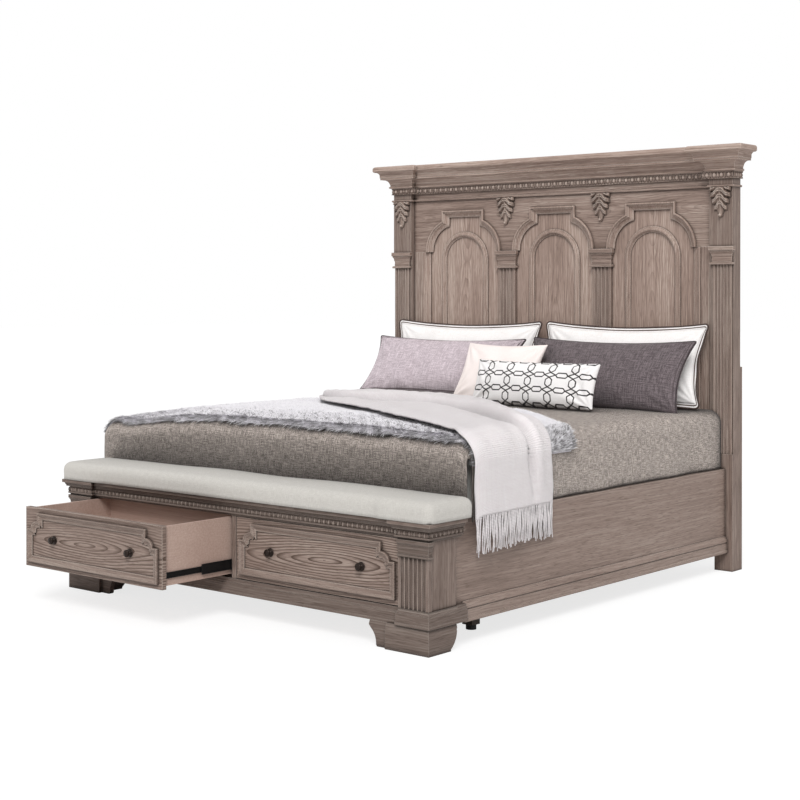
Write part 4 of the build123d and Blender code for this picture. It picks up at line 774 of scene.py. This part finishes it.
# Mattress. A quilted foam and spring mattress in white ticking, nearly all of it under the cover. Its
# left foot corner has settled a little.
CORNER_SAG = 0.034
SAG_ACROSS, SAG_ALONG = 0.30, 0.32
MATTRESS_RADIUS = 0.045
MATTRESS_LOW, MATTRESS_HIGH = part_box("mattress")


def settled(points, base, top):
    """Lowers points near the left foot corner: the sag times a bell over x and y, most at the top."""
    near_x = (points[..., 0] - MATTRESS_LOW.x) / SAG_ACROSS
    near_y = (points[..., 1] - MATTRESS_LOW.y) / SAG_ALONG
    near = np.exp(-near_x ** 2 - near_y ** 2)
    share = np.clip((points[..., 2] - base) / (top - base), 0, 1)
    lowered = points.copy()
    lowered[..., 2] -= CORNER_SAG * near * share
    return lowered


patches = [(settled(points, MATTRESS_LOW.z, MATTRESS_HIGH.z), flat)
           for points, flat in stuffed_box(MATTRESS_LOW, MATTRESS_HIGH, MATTRESS_RADIUS, 0.03)]
TICKING = cloth("ticking", 0.0015, paint(226, 224, 219), paint(208, 205, 199), slub=0.4, relief=0.3)
mattress = skin("spring_mattress", patches, TICKING, closed=True)
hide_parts("mattress")

# Cover. A heavy woven bedspread with split corners at the foot: it lies over the mattress, hangs to
# the rails on both sides and drops behind the bench.
COVER_LOW, COVER_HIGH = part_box("coverlet")
COVER_HALF = COVER_HIGH.x - 0.002
COVER_FOOT = COVER_LOW.y
COVER_HEM = COVER_LOW.z
COVER_CROWN = 0.012
COVER_TOP = COVER_HIGH.z - COVER_CROWN
COVER_THICK = 0.004
EDGE_RADIUS = 0.070
COVER_LEVEL = COVER_HALF - EDGE_RADIUS
FOOT_LEVEL = -COVER_FOOT - EDGE_RADIUS
SPREAD_LEFT, SPREAD_RIGHT, SPREAD_LENGTH = 0.136, 0.040, 0.45


def rolled(distance, level):
    """Distance past an edge: straight out to the level part's end, a quarter circle, then down."""
    over = np.clip(np.abs(distance) - level, 0, None)
    angle = np.minimum(over / EDGE_RADIUS, np.pi / 2)
    fall = np.clip(over - EDGE_RADIUS * np.pi / 2, 0, None)
    out = np.minimum(np.abs(distance), level) + EDGE_RADIUS * np.sin(angle)
    return np.sign(distance) * out, EDGE_RADIUS * (1 - np.cos(angle)) + fall, np.sign(distance) * angle


def on_bed(across, along, lift):
    """The point of the bed's rounded top at two distances over the cloth, raised along its normal.

    Towards the foot the bedding stands wider: x grows by a share times exp(-(distance / length)^2).
    """
    x, down_x, lean_x = rolled(across, COVER_LEVEL)
    y, down_y, lean_y = rolled(np.minimum(along, 0), FOOT_LEVEL)
    y = y + np.maximum(along, 0)
    near_foot = np.exp(-(np.clip(y - COVER_FOOT, 0, None) / SPREAD_LENGTH) ** 2)
    x = x * (1 + np.where(x < 0, SPREAD_LEFT, SPREAD_RIGHT) * near_foot)
    crown = COVER_CROWN * np.clip(1 - (x / COVER_LEVEL) ** 2, 0, 1)
    z = COVER_TOP + crown - down_x - down_y
    normal = unit(np.stack([np.sin(lean_x), np.sin(lean_y), np.cos(lean_x) * np.cos(lean_y)], -1))
    return settled(np.stack([x, y, z], -1) + normal * lift[..., None], COVER_HEM, COVER_TOP)


side_drop = COVER_TOP - COVER_HEM - EDGE_RADIUS
arc = EDGE_RADIUS * math.pi / 2
cut_across = COVER_LEVEL + arc + side_drop
cut_along = FOOT_LEVEL + arc + side_drop
across, along = np.meshgrid(np.linspace(-cut_across, cut_across, 190),
                            np.linspace(-cut_along, COVER_HIGH.y, 170), indexing="ij")
past_side = np.abs(across) - COVER_LEVEL
past_foot = -along - FOOT_LEVEL
lift = 0.0012 * ripples(across, along, scale=0.42, count=12, seed=5) - 0.002
hang = np.clip(np.maximum(past_side, past_foot) / 0.2, 0, 1)
lift = lift + 0.0035 * hang * ripples(across * 0.2, along, scale=0.30, count=7, seed=8)
points = on_bed(across, along, lift)
split = arc * 0.62
open_corner = (past_side > split) & (past_foot > split)
keep = ~(open_corner[:-1, :-1] | open_corner[1:, 1:])
COVER_CLOTH = cloth("cover_cloth", 0.0014, paint(208, 196, 187), paint(68, 59, 54), slub=0.75,
                    relief=0.6, sheen=0.10, depth=0.001)
# Painted shade: the cover darkens where it hangs low behind the bench.
shaded_low(COVER_CLOTH, reach=0.42, least=0.24)
cover = skin("bedspread", [(points, np.stack([across, along], -1))], COVER_CLOTH, keep=keep)
thicken(cover, COVER_THICK, -1.0)
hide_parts("coverlet")

# Fur throw. A long-pile grey throw with pale tips, laid over the foot of the bed: deeper on the left
# than on the right, where it hangs a little way down the side. The pile is cut tufts on a backing.
FUR_LEFT, FUR_RIGHT, FUR_SLOPE_WIDTH = 1.235, 0.745, 0.580
FUR_OVER_LEFT, FUR_OVER_RIGHT = 0.115, 0.135
FUR_START = -COVER_LEVEL - FUR_OVER_LEFT
FUR_SPAN = 2 * COVER_LEVEL + FUR_OVER_LEFT + FUR_OVER_RIGHT
FUR_SET_BACK, FUR_THICK = 0.034, 0.003
TUFTS, PILES = 32000, 5
TO_FOOT, BACK_AND_LEFT = -1.8, 2.3


def fur_place(a, b):
    """Cloth distances of the throw at two shares: a from left to right, b from foot to head."""
    across = FUR_START + a * FUR_SPAN
    depth = np.interp(across, [COVER_HALF - FUR_SLOPE_WIDTH, COVER_HALF], [FUR_LEFT, FUR_RIGHT])
    along = COVER_FOOT + FUR_SET_BACK + b * (depth - FUR_SET_BACK)
    along = along + 0.005 * np.sin(a * 17) * (0.3 + b) + 0.004 * np.sin(a * 41)
    return across, along


def fur_lift(a, b):
    """Height of the backing over the bed: it thins to nothing at its rim and is a little uneven."""
    rim = np.minimum(np.minimum(a, 1 - a) * 2.1, np.minimum(b, 1 - b))
    return 0.003 + 0.008 * np.clip(rim / 0.03, 0, 1) + 0.002 * ripples(*fur_place(a, b), 0.3, 8, 4)


a, b = np.meshgrid(np.linspace(0, 1, 120), np.linspace(0, 1, 70), indexing="ij")
across, along = fur_place(a, b)
points = on_bed(across, along, fur_lift(a, b))
FUR_BACK = cloth("fur_backing", 0.002, paint(214, 210, 216), paint(184, 180, 186), slub=0.5)
fur = skin("fur_backing", [(points, np.stack([across, along], -1))], FUR_BACK)
thicken(fur, FUR_THICK, -1.0)


def fur_material():
    """Pile shaded along each tuft: dark at the root, pale at the tip, with a random shade a tuft."""
    material, tree, shader = new_material("fur_pile")
    spot = flat_place(tree)
    up, shade = ramp(tree, spot[1], 0.05, 0.75), ramp(tree, spot[0], 0.0, 1.0)
    tip = blend_colour(tree, shade, paint(84, 80, 80), paint(254, 252, 255))
    root = blend_colour(tree, shade, paint(40, 37, 37), paint(236, 232, 240))
    feed(tree, shader, {"Base Color": blend_colour(tree, up, root, tip), "Roughness": 0.75,
                        "Sheen Weight": 0.25})
    return material


def brushed_way(drawn, across, along, share, normal):
    """Direction of each tuft along the cloth: a share is brushed to the foot, the rest back and left,
    with swirls and a random turn."""
    swirl = ripples(across, along, 0.16, 10, 21) * 0.9 + ripples(across, along, 0.05, 8, 22) * 0.7
    heading = np.where(drawn.uniform(0, 1, len(share)) < share, TO_FOOT, BACK_AND_LEFT)
    heading = heading + 0.35 * swirl + drawn.normal(0, 0.4, len(share))
    comb = np.stack([np.cos(heading), np.sin(heading), 0 * heading], 1)
    return unit(comb - (comb * normal).sum(1, keepdims=True) * normal)


def pile_shade(drawn, b, edge, fallen, clump):
    """Shade of each tuft: pale, with dark ones in the clumps near the foot and where the throw hangs."""
    near_foot = np.clip((0.40 - b) / 0.40, 0, 1) * 0.7
    dark = np.maximum(np.maximum(edge, near_foot), fallen * 0.9)
    pale = drawn.uniform(0.80, 1, len(b)) * (1 - 0.08 * clump)
    deep = drawn.uniform(0, 1, len(b)) < dark * np.clip(1.25 * clump - 0.05, 0, 1)
    return np.where(deep, drawn.uniform(0.0, 0.40, len(b)), pale) * (1 - 0.20 * fallen)


def tufts(count, seed):
    """Tufts over the throw: each is a curved blade of four rungs that leans with the brushed pile."""
    drawn = np.random.default_rng(seed)
    a, b = drawn.uniform(0.004, 0.996, count), drawn.uniform(0.0, 1.0, count) ** 0.97
    across, along = fur_place(a, b)
    lift = fur_lift(a, b)
    root = on_bed(across, along, lift)
    normal = unit(on_bed(across, along, lift + 0.010) - root)
    edge = np.clip(1.3 - b / 0.055, 0, 1)
    clump = 0.5 + 0.5 * np.clip(ripples(across, along, 0.030, 12, 23) * 1.4, -1, 1)
    fallen = np.clip((np.abs(across) - COVER_LEVEL) / 0.06, 0, 1)
    brushed = np.clip(0.7 * edge + np.clip(0.85 - b / 0.60, 0, 1) * (0.1 + 1.1 * clump), 0, 1)
    comb = brushed_way(drawn, across, along, brushed, normal)
    side = np.cross(normal, comb)
    length = drawn.uniform(0.018, 0.034, count) * (1 + 0.5 * np.maximum(edge, fallen))
    width = drawn.uniform(0.0014, 0.0030, count)
    steep = drawn.uniform(0.10, 0.55, count)
    rungs = np.linspace(0, 1, 4)
    rise = np.sin(rungs * np.pi * 0.42)[None] * (steep * 0.55)[:, None]
    run = (rungs + 0.25 * rungs ** 2)[None] * (1 - 0.35 * steep)[:, None] * 0.75
    bend = run[..., None] * comb[:, None] + rise[..., None] * normal[:, None]
    middle = root[:, None] + length[:, None, None] * bend
    half = (width[:, None] * np.array([0.7, 1.0, 0.75, 0.12])[None])[..., None] * side[:, None] / 2
    blade = np.stack([middle - half, middle + half], 2)
    shade = pile_shade(drawn, b, edge, fallen, clump)[:, None, None] + np.zeros((count, 4, 2))
    flat = np.stack([shade, np.broadcast_to(rungs[None, :, None], shade.shape)], -1)
    return blade, flat


def laid_pile(name, count, seed, material):
    """Joins the tufts into one mesh: three quads a tuft, all indexed at once."""
    blade, flat = tufts(count, seed)
    index = np.arange(count * 8).reshape(count, 4, 2)
    quads = np.stack([index[:, :-1, 0], index[:, :-1, 1], index[:, 1:, 1], index[:, 1:, 0]], -1)
    mesh = new_mesh(name, blade.reshape(-1, 3), quads.reshape(-1, 4), flat.reshape(-1, 2))
    return placed(mesh, name, material, "bed")


FUR_PILE = fur_material()
pile = [laid_pile(f"fur_pile_{i + 1}", TUFTS, 31 + i, FUR_PILE) for i in range(PILES)]
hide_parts("fur_throw")

# Knitted throw. A soft off-white knit, gathered across the bed over the fur and let down the right
# side past the rail; its cut end is finished with a long twisted fringe.
KNIT_TIP, KNIT_END, KNIT_THICK = -0.80, 1.242, 0.006
STRANDS, STRAND_RADIUS = 88, 0.0036
# The two long edges: distance across the bed, and distance along it from the middle.
front_s, front_t = np.array([(-0.80, 0.150), (-0.75, 0.061), (-0.48, -0.215), (-0.13, -0.385), (0.11, -0.525),
                             (0.31, -0.650), (0.58, -0.795), (0.79, -0.925), (0.95, -1.020), (1.10, -1.030),
                             (1.30, -1.018)]).T
rear_s, rear_t = np.array([(-0.80, 0.220), (-0.72, 0.300), (-0.55, 0.330), (-0.33, 0.262), (-0.09, 0.225),
                           (0.15, 0.125), (0.40, -0.030), (0.69, -0.300), (0.88, -0.480), (1.00, -0.520),
                           (1.10, -0.495), (1.30, -0.464)]).T


def gentle(values, times):
    """Evens a row of values: each becomes a quarter, half, quarter mean of itself and its neighbours."""
    for _ in range(times):
        inner = (values[:-2] + 2 * values[1:-1] + values[2:]) / 4
        values = np.concatenate([values[:1], inner, values[-1:]])
    return values


def knit_folds(w, across, along, crease, flatness):
    """Height of the folds over the share w of the throw's width, from foot to head.

    It is a body with round edges, a step up past the crease with a hollow before it and a swell after
    it, and waves where the throw lies flat; all of these thin out at its tip. Small ripples come on top.
    """
    kept = np.clip((1.27 - across) / 0.17, 0, 1)
    body = 0.014 * np.sin(np.pi * np.clip(w, 0.001, 0.999)) ** 0.35
    step = 0.024 / (1 + np.exp((crease - w) / 0.010))
    hollow = 0.016 * np.exp(-((w - crease + 0.030) / 0.035) ** 2)
    swell = 0.010 * np.exp(-((w - crease - 0.060) / 0.050) ** 2)
    waves = 0.006 * np.sin(w * 15 + across * 2.4) * flatness * np.sin(np.pi * w)
    thinner = 1 - 0.55 * np.clip((KNIT_TIP + 0.40 - across) / 0.4, 0, 1)
    folds = (body + kept * (step - hollow + swell) + waves) * thinner
    return folds + 0.0016 * ripples(across, along, 0.12, 10, 14)


s = np.linspace(KNIT_TIP, KNIT_END, 230)
front, rear = gentle(np.interp(s, front_s, front_t), 60), gentle(np.interp(s, rear_s, rear_t), 60)
w = np.linspace(0, 1, 90)
across = s[:, None] + 0 * w
along = front[:, None] + (rear - front)[:, None] * w
over_fur = fur_place((across - FUR_START) / FUR_SPAN, 1.0 + 0 * across)[1]
bed_lift = 0.030 / (1 + np.exp((along - over_fur) / 0.02))
flatness = np.clip((1.02 - across) / 0.12, 0, 1)
crease = gentle(np.interp(s, [-0.80, -0.55, -0.20, 0.20, 0.50, 0.95, 1.27],
                          [0.10, 0.20, 0.40, 0.60, 0.70, 0.74, 0.77]), 20)[:, None]
fold = knit_folds(w, across, along, crease, flatness)
hang_lift = 0.018 + 0.70 * fold
top_lift = 0.004 + bed_lift + fold
lift = top_lift * flatness + hang_lift * (1 - flatness)
points = on_bed(across, along, lift)
gaps = np.linalg.norm(np.diff(points, axis=1), axis=2)
over_w = np.concatenate([np.zeros((len(s), 1)), np.cumsum(gaps, axis=1)], axis=1)
KNIT = cloth("soft_knit", 0.0056, paint(255, 252, 252), paint(232, 221, 223), slub=0.10,
             relief=0.9, sheen=0.3, depth=0.0034)
# Painted shade in the knit's creases.
shaded_low(KNIT, reach=0.05, least=0.62)
knit = skin("knit_throw_cloth", [(points, np.stack([across, over_w], -1))], KNIT)
thicken(knit, KNIT_THICK, 0.0)


def fringe_grid(tops, length, seed):
    """Strands from the cut edge: tubes whose middle line sways by a sine and whose radius narrows."""
    drawn = np.random.default_rng(seed)
    count, rings, sides = len(tops), 9, 6
    down = np.linspace(0, 1, rings)
    angle = np.linspace(0, 2 * np.pi, sides + 1)
    sway = drawn.normal(0, 0.0075, (count, 1)) * down
    sway = sway + 0.0035 * np.sin(down * 5 + drawn.uniform(0, 6, (count, 1)))
    long = length * drawn.uniform(0.84, 1.0, (count, 1))
    x = tops[:, None, 0] + drawn.normal(0, 0.0012, (count, 1)) * down
    y = tops[:, None, 1] + sway
    z = (tops[:, None, 2] - long * down)[..., None] + 0 * angle
    wide = (STRAND_RADIUS * (1 - 0.45 * down ** 2) * (1 + 0.18 * np.sin(down * 40)))[:, None]
    strands = np.stack([x[..., None] + wide * np.cos(angle), y[..., None] + wide * np.sin(angle), z], -1)
    flats = np.stack([0 * z + 0.004 * np.cos(angle), z], -1)
    return list(zip(strands, flats))


spaced = np.linspace(1, len(w) - 2, STRANDS).astype(int)
ends = points[-1][spaced] + np.array([0.0, 0.0, 0.004])
strands = fringe_grid(ends, ends[:, 2].min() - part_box("knit_throw")[0].z, 17)
fringe = skin("knit_fringe", strands, KNIT)
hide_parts("knit_throw")


# Pillows. Feather-filled covers stood up along the headboard: two piped shams at the back, two grey
# pillows, a blush one and a long patterned one in front.
def rounded_square(a, b, share_x, share_y):
    """Rounds the corners of a square: inside a corner the pair (u, v) goes to u sqrt(1 - v^2 / 2)."""
    u = np.clip((np.abs(a) - 1 + share_x) / share_x, 0, 1)
    v = np.clip((np.abs(b) - 1 + share_y) / share_y, 0, 1)
    less_a = share_x * (u - u * np.sqrt(1 - v ** 2 / 2))
    less_b = share_y * (v - v * np.sqrt(1 - u ** 2 / 2))
    return np.sign(a) * (np.abs(a) - less_a), np.sign(b) * (np.abs(b) - less_b)


def drawn_in(a, b, size, pull, corner):
    """Outline of a stuffed cover with round corners: sides drawn in by pull times (1 - the other^2),
    and the lower one by a fifth of that."""
    a, b = rounded_square(a, b, 2 * corner / size[0], 2 * corner / size[1])
    x = size[0] / 2 * a - pull[0] * a * (1 - b ** 2)
    y = size[1] / 2 * b - pull[1] * np.where(b < 0, 0.2, 1.0) * b * (1 - a ** 2)
    return x, y


def close_at_ends(count):
    """Numbers from -1 to 1 that lie closer together towards both ends: part sine, part even."""
    return np.sin(np.linspace(-np.pi / 2, np.pi / 2, count)) * 0.6 + np.linspace(-1, 1, count) * 0.4


def pillow_grid(size, pull, corner, sag, seed, cell=0.010):
    """Pillow over (a, b): half thickness ((1 - a^2)(1 - b^2))^0.42, fuller below, creased at corners."""
    width, height, thick = size
    columns, rows = max(24, round(width / cell)), max(20, round(height / cell))
    up = close_at_ends(rows)
    side = np.concatenate([np.ones(rows), -np.ones(rows - 1)])
    a, b = np.meshgrid(close_at_ends(columns), np.concatenate([up, up[::-1][1:]]), indexing="ij")
    x, y = drawn_in(a, b, size, pull, corner)
    full = (np.clip(1 - a ** 2, 0, 1) * np.clip(1 - b ** 2, 0, 1)) ** 0.42
    full = full * (1 - sag * b * (1 - a ** 2) * 0.5)
    crease = 0 * a
    for corner_x in (-1, 1):
        for corner_y in (-1, 1):
            gap_x, gap_y = (1 - corner_x * a) * width / 2, (1 - corner_y * b) * height / 2
            reach, turn = np.hypot(gap_x, gap_y), np.arctan2(gap_y, gap_x + 1e-6)
            crease = crease + 0.012 * np.exp(-(reach / 0.12) ** 2) * np.cos(turn * 13 + seed + corner_x * 2)
    edge = np.clip((1 - np.maximum(np.abs(a), np.abs(b))) * 5, 0, 1)
    soft = 0.0045 * ripples(x, y, 0.20, 9, seed)
    out = thick / 2 * full + (crease + soft) * edge ** 0.5 * full ** 0.5
    flat = np.stack([a * width / 2, b * height / 2], -1)
    return np.stack([x, y, np.maximum(out, 0) * side], -1), flat


def edge_line(size, pull, corner, spread=0.0):
    """The outline alone as one closed loop of points, grown outwards by a spread on every side."""
    run = np.linspace(-1, 1, 90)
    a = np.concatenate([run, 0 * run[1:] + 1, -run[1:], 0 * run[1:] - 1])
    b = np.concatenate([0 * run - 1, run[1:], 0 * run[1:] + 1, -run[1:]])
    x, y = drawn_in(a, b, (size[0] + 2 * spread, size[1] + 2 * spread), pull, corner + spread)
    return np.stack([x, y], -1), np.stack([a * (size[0] / 2 + spread), b * (size[1] / 2 + spread)], -1)


def cord_grid(loop, radius):
    """A cord along a closed loop lying flat: a circle of eight points square to the loop's tangent."""
    tangent = unit(np.roll(loop, -1, axis=0) - np.roll(loop, 1, axis=0))
    side = np.stack([tangent[:, 1], -tangent[:, 0], 0 * tangent[:, 0]], -1)
    angle = np.linspace(0, 2 * np.pi, 9)[None, :, None]
    rise = np.array([0, 0, 1.0])
    ring = loop[:, None] + radius * (np.cos(angle) * side[:, None] + np.sin(angle) * rise)
    run = np.concatenate([[0], np.cumsum(np.linalg.norm(np.diff(loop, axis=0), axis=1))])
    flat = np.stack([run[:, None] + 0 * angle[..., 0], radius * angle[..., 0] + 0 * run[:, None]], -1)
    return ring, flat


def stood(points, place, lean, turn=0.0):
    """Tips flat points up by 90 degrees less the lean, turns them about Z and moves them to a place."""
    tip, spin = math.radians(90 - lean), math.radians(turn)
    x, y, z = points[..., 0], points[..., 1], points[..., 2]
    up = y * math.sin(tip) + z * math.cos(tip)
    deep = y * math.cos(tip) - z * math.sin(tip)
    turned = [x * math.cos(spin) - deep * math.sin(spin), x * math.sin(spin) + deep * math.cos(spin), up]
    return np.stack(turned, -1) + np.array(place)


def middle_of(node):
    """The middle of a CAD node's box."""
    low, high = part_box(node)
    return (np.array(low) + np.array(high)) / 2


# Shams: white cotton with a narrow flat flange, a brown cord round its edge and a brown line inside.
def lined_cloth(material, size, near, far, colour):
    """Paints a line between two distances in from the edge of the flat cut."""
    tree, shader, plain = painted(material)
    flat = flat_place(tree)
    inset_x, inset_y = [math_of(tree, "SUBTRACT", size[i] / 2, math_of(tree, "ABSOLUTE", flat[i]))
                        for i in (0, 1)]
    inset = math_of(tree, "MINIMUM", inset_x, inset_y)
    away = math_of(tree, "ABSOLUTE", math_of(tree, "SUBTRACT", inset, (near + far) / 2))
    half = (far - near) / 2
    line = ramp(tree, away, half * 1.3, half * 0.7)
    tree.links.new(blend_colour(tree, line, plain, colour), shader.inputs["Base Color"])


SHAM_FLANGE, SHAM_PULL, SHAM_CORNER, SHAM_LEAN = 0.022, (0.040, 0.028), 0.006, 15.0
SHAM_THICK, SHAM_PIPING, FLANGE_HALF = 0.130, 0.0050, 0.0026
FLANGE_STEPS = np.array([0.0, 0.1, 0.35, 0.7, 0.9, 1.0])[None, :, None]
CORD_BROWN = cloth("cord_brown", 0.0012, paint(84, 68, 62), paint(58, 46, 43), slub=0.3, relief=0.5)
_, sham_y, sham_z = middle_of("shams")
for side, x, width, height in (("left", -0.512, 0.926, 0.370), ("right", 0.462, 0.900, 0.374)):
    place = (x, sham_y - 0.010, sham_z - 0.004)
    size, outer_size = (width, height, SHAM_THICK), (width + 2 * SHAM_FLANGE, height + 2 * SHAM_FLANGE)
    white = cloth(f"sham_cotton_{side}", 0.0016, paint(252, 250, 249), paint(236, 231, 228), slub=0.4,
                  relief=0.3)
    lined_cloth(white, outer_size, near=0.0105, far=0.0170, colour=paint(84, 68, 62))
    pad, flat = pillow_grid(size, SHAM_PULL, SHAM_CORNER, sag=0.25, seed=len(side))
    inner, inner_flat = edge_line(size, SHAM_PULL, SHAM_CORNER)
    outer, outer_flat = edge_line(size, SHAM_PULL, SHAM_CORNER, SHAM_FLANGE)
    rim = inner[:, None] * (1 - FLANGE_STEPS) + outer[:, None] * FLANGE_STEPS
    rim_flat = inner_flat[:, None] * (1 - FLANGE_STEPS) + outer_flat[:, None] * FLANGE_STEPS
    wavy = 0.0040 * np.sin(np.arange(len(inner)) * 0.19)[:, None] * FLANGE_STEPS[..., 0]
    faces = [(stood(np.dstack([rim, wavy + half]), place, SHAM_LEAN), rim_flat)
             for half in (FLANGE_HALF, -FLANGE_HALF)]
    sham = skin(f"sham_{side}", [(stood(pad, place, SHAM_LEAN), flat), *faces], white)
    cord, flat = cord_grid(np.column_stack([outer, wavy[:, -1]]), SHAM_PIPING)
    skin(f"sham_piping_{side}", [(stood(cord, place, SHAM_LEAN), flat)], CORD_BROWN)
    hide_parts("shams")

# Grey pillows: a mauve-grey woven cloth with a dark corded seam, leaning on the shams. The one cloth is
# painted in two copies: lighter on the left pillow as painted light, darker on the right one as painted
# shade.
GREY_PULL, GREY_CORNER = (0.040, 0.024), 0.006
GREY_THICK, GREY_PIPING = 0.135, 0.0044
CORD_GREY = cloth("cord_grey", 0.0012, paint(74, 64, 66), paint(52, 44, 46), slub=0.3, relief=0.5)
_, grey_y, grey_z = middle_of("grey_pillows")
# Side, place across, distance up, width, height, lean, and the two thread colours, painted light on the
# left and painted shade on the right.
greys = (("left", -0.542, -0.002, 0.974, 0.356, 33.0, paint(222, 209, 215), paint(158, 144, 150)),
         ("right", 0.463, -0.010, 0.926, 0.384, 29.0, paint(128, 117, 120), paint(60, 52, 54)))
for side, x, up, width, height, lean, warp, weft in greys:
    size, place = (width, height, GREY_THICK), (x, grey_y, grey_z + up)
    woven = cloth(f"grey_cloth_{side}", 0.0022, warp, weft, slub=0.7, relief=0.6)
    # Painted shade where little sky reaches the pillow.
    shaded_low(woven, reach=0.20, least=0.60)
    lined_cloth(woven, size, near=0.0090, far=0.0125, colour=paint(84, 74, 76))
    grid, flat = pillow_grid(size, GREY_PULL, GREY_CORNER, sag=0.35, seed=4 + len(side))
    grey = skin(f"grey_pillow_{side}", [(stood(grid, place, lean), flat)], woven, closed=True)
    seam, _ = edge_line(size, GREY_PULL, GREY_CORNER, 0.001)
    cord, flat = cord_grid(np.column_stack([seam, 0 * seam[:, 0]]), GREY_PIPING)
    skin(f"grey_piping_{side}", [(stood(cord, place, lean), flat)], CORD_GREY)
    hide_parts("grey_pillows")

# Blush pillow: smooth brushed cotton.
BLUSH_SIZE, BLUSH_LEAN = (0.487, 0.328, 0.115), 29.0
BLUSH_CLOTH = cloth("blush_cotton", 0.0011, paint(250, 241, 238), paint(242, 229, 224), slub=0.2, relief=0.2)
grid, flat = pillow_grid(BLUSH_SIZE, pull=(0.022, 0.018), corner=0.006, sag=0.3, seed=15)
grid = stood(grid, middle_of("blush_pillow") + (0.018, 0, 0), BLUSH_LEAN)
blush = skin("blush_cushion", [(grid, flat)], BLUSH_CLOTH, closed=True)
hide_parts("blush_pillow")


# Patterned pillow: off-white cotton printed with a dark trellis of linked six-sided rings.
def line_gap(tree, place, a, b):
    """Distance from a place to the straight line between two points, by the nearest share along it."""
    span = (b[0] - a[0], b[1] - a[1], 0)
    away = vector_of(tree, "SUBTRACT", place, (*a, 0))
    dot = vector_of(tree, "DOT_PRODUCT", away, span)
    share = math_of(tree, "DIVIDE", dot, span[0] ** 2 + span[1] ** 2, clamp=True)
    nearest = vector_of(tree, "SCALE", span, scale=share)
    return vector_of(tree, "LENGTH", vector_of(tree, "SUBTRACT", away, nearest))


TRELLIS_WIDE, TRELLIS_HIGH = 0.130, 0.076
HALF_X, HALF_Y = TRELLIS_WIDE / 2, TRELLIS_HIGH / 2
STROKES = [((0.018, 0), (0.018, 0.012)), ((0.018, 0.012), (0, 0.025)), ((0, 0.025), (0.032, HALF_Y)),
           ((0.032, HALF_Y), (0.044, HALF_Y - 0.012)), ((0.044, HALF_Y - 0.012), (HALF_X, HALF_Y - 0.012))]
LUMBAR_SIZE, LUMBAR_LEAN, LUMBAR_TURN = (0.730, 0.226, 0.115), 18.0, -2.5


def trellis_cotton():
    """Folds the flat place into a quarter cell and draws five straight strokes of the trellis there."""
    material = cloth("trellis_cotton", 0.0011, paint(247, 245, 244), paint(236, 233, 232), slub=0.3,
                     relief=0.25)
    tree, shader, plain = painted(material)
    spot = flat_place(tree)
    u = math_of(tree, "PINGPONG", math_of(tree, "ADD", spot[0], 5 * TRELLIS_WIDE), HALF_X)
    v = math_of(tree, "PINGPONG", math_of(tree, "ADD", spot[1], 5 * TRELLIS_HIGH), HALF_Y)
    place = add(tree, "ShaderNodeCombineXYZ", {0: u, 1: v}).outputs[0]
    near, *others = [line_gap(tree, place, a, b) for a, b in STROKES]
    for gap in others:
        near = math_of(tree, "MINIMUM", near, gap)
    ink = ramp(tree, near, 0.0036, 0.0026)
    tree.links.new(blend_colour(tree, ink, plain, paint(48, 44, 44)), shader.inputs["Base Color"])
    return material


grid, flat = pillow_grid(LUMBAR_SIZE, pull=(0.016, 0.008), corner=0.006, sag=0.25, seed=19, cell=0.008)
grid = stood(grid, middle_of("patterned_pillow") + (0.022, 0, 0), LUMBAR_LEAN, LUMBAR_TURN)
lumbar = skin("trellis_pillow", [(grid, flat)], trellis_cotton(), closed=True)
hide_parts("patterned_pillow")

low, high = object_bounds()
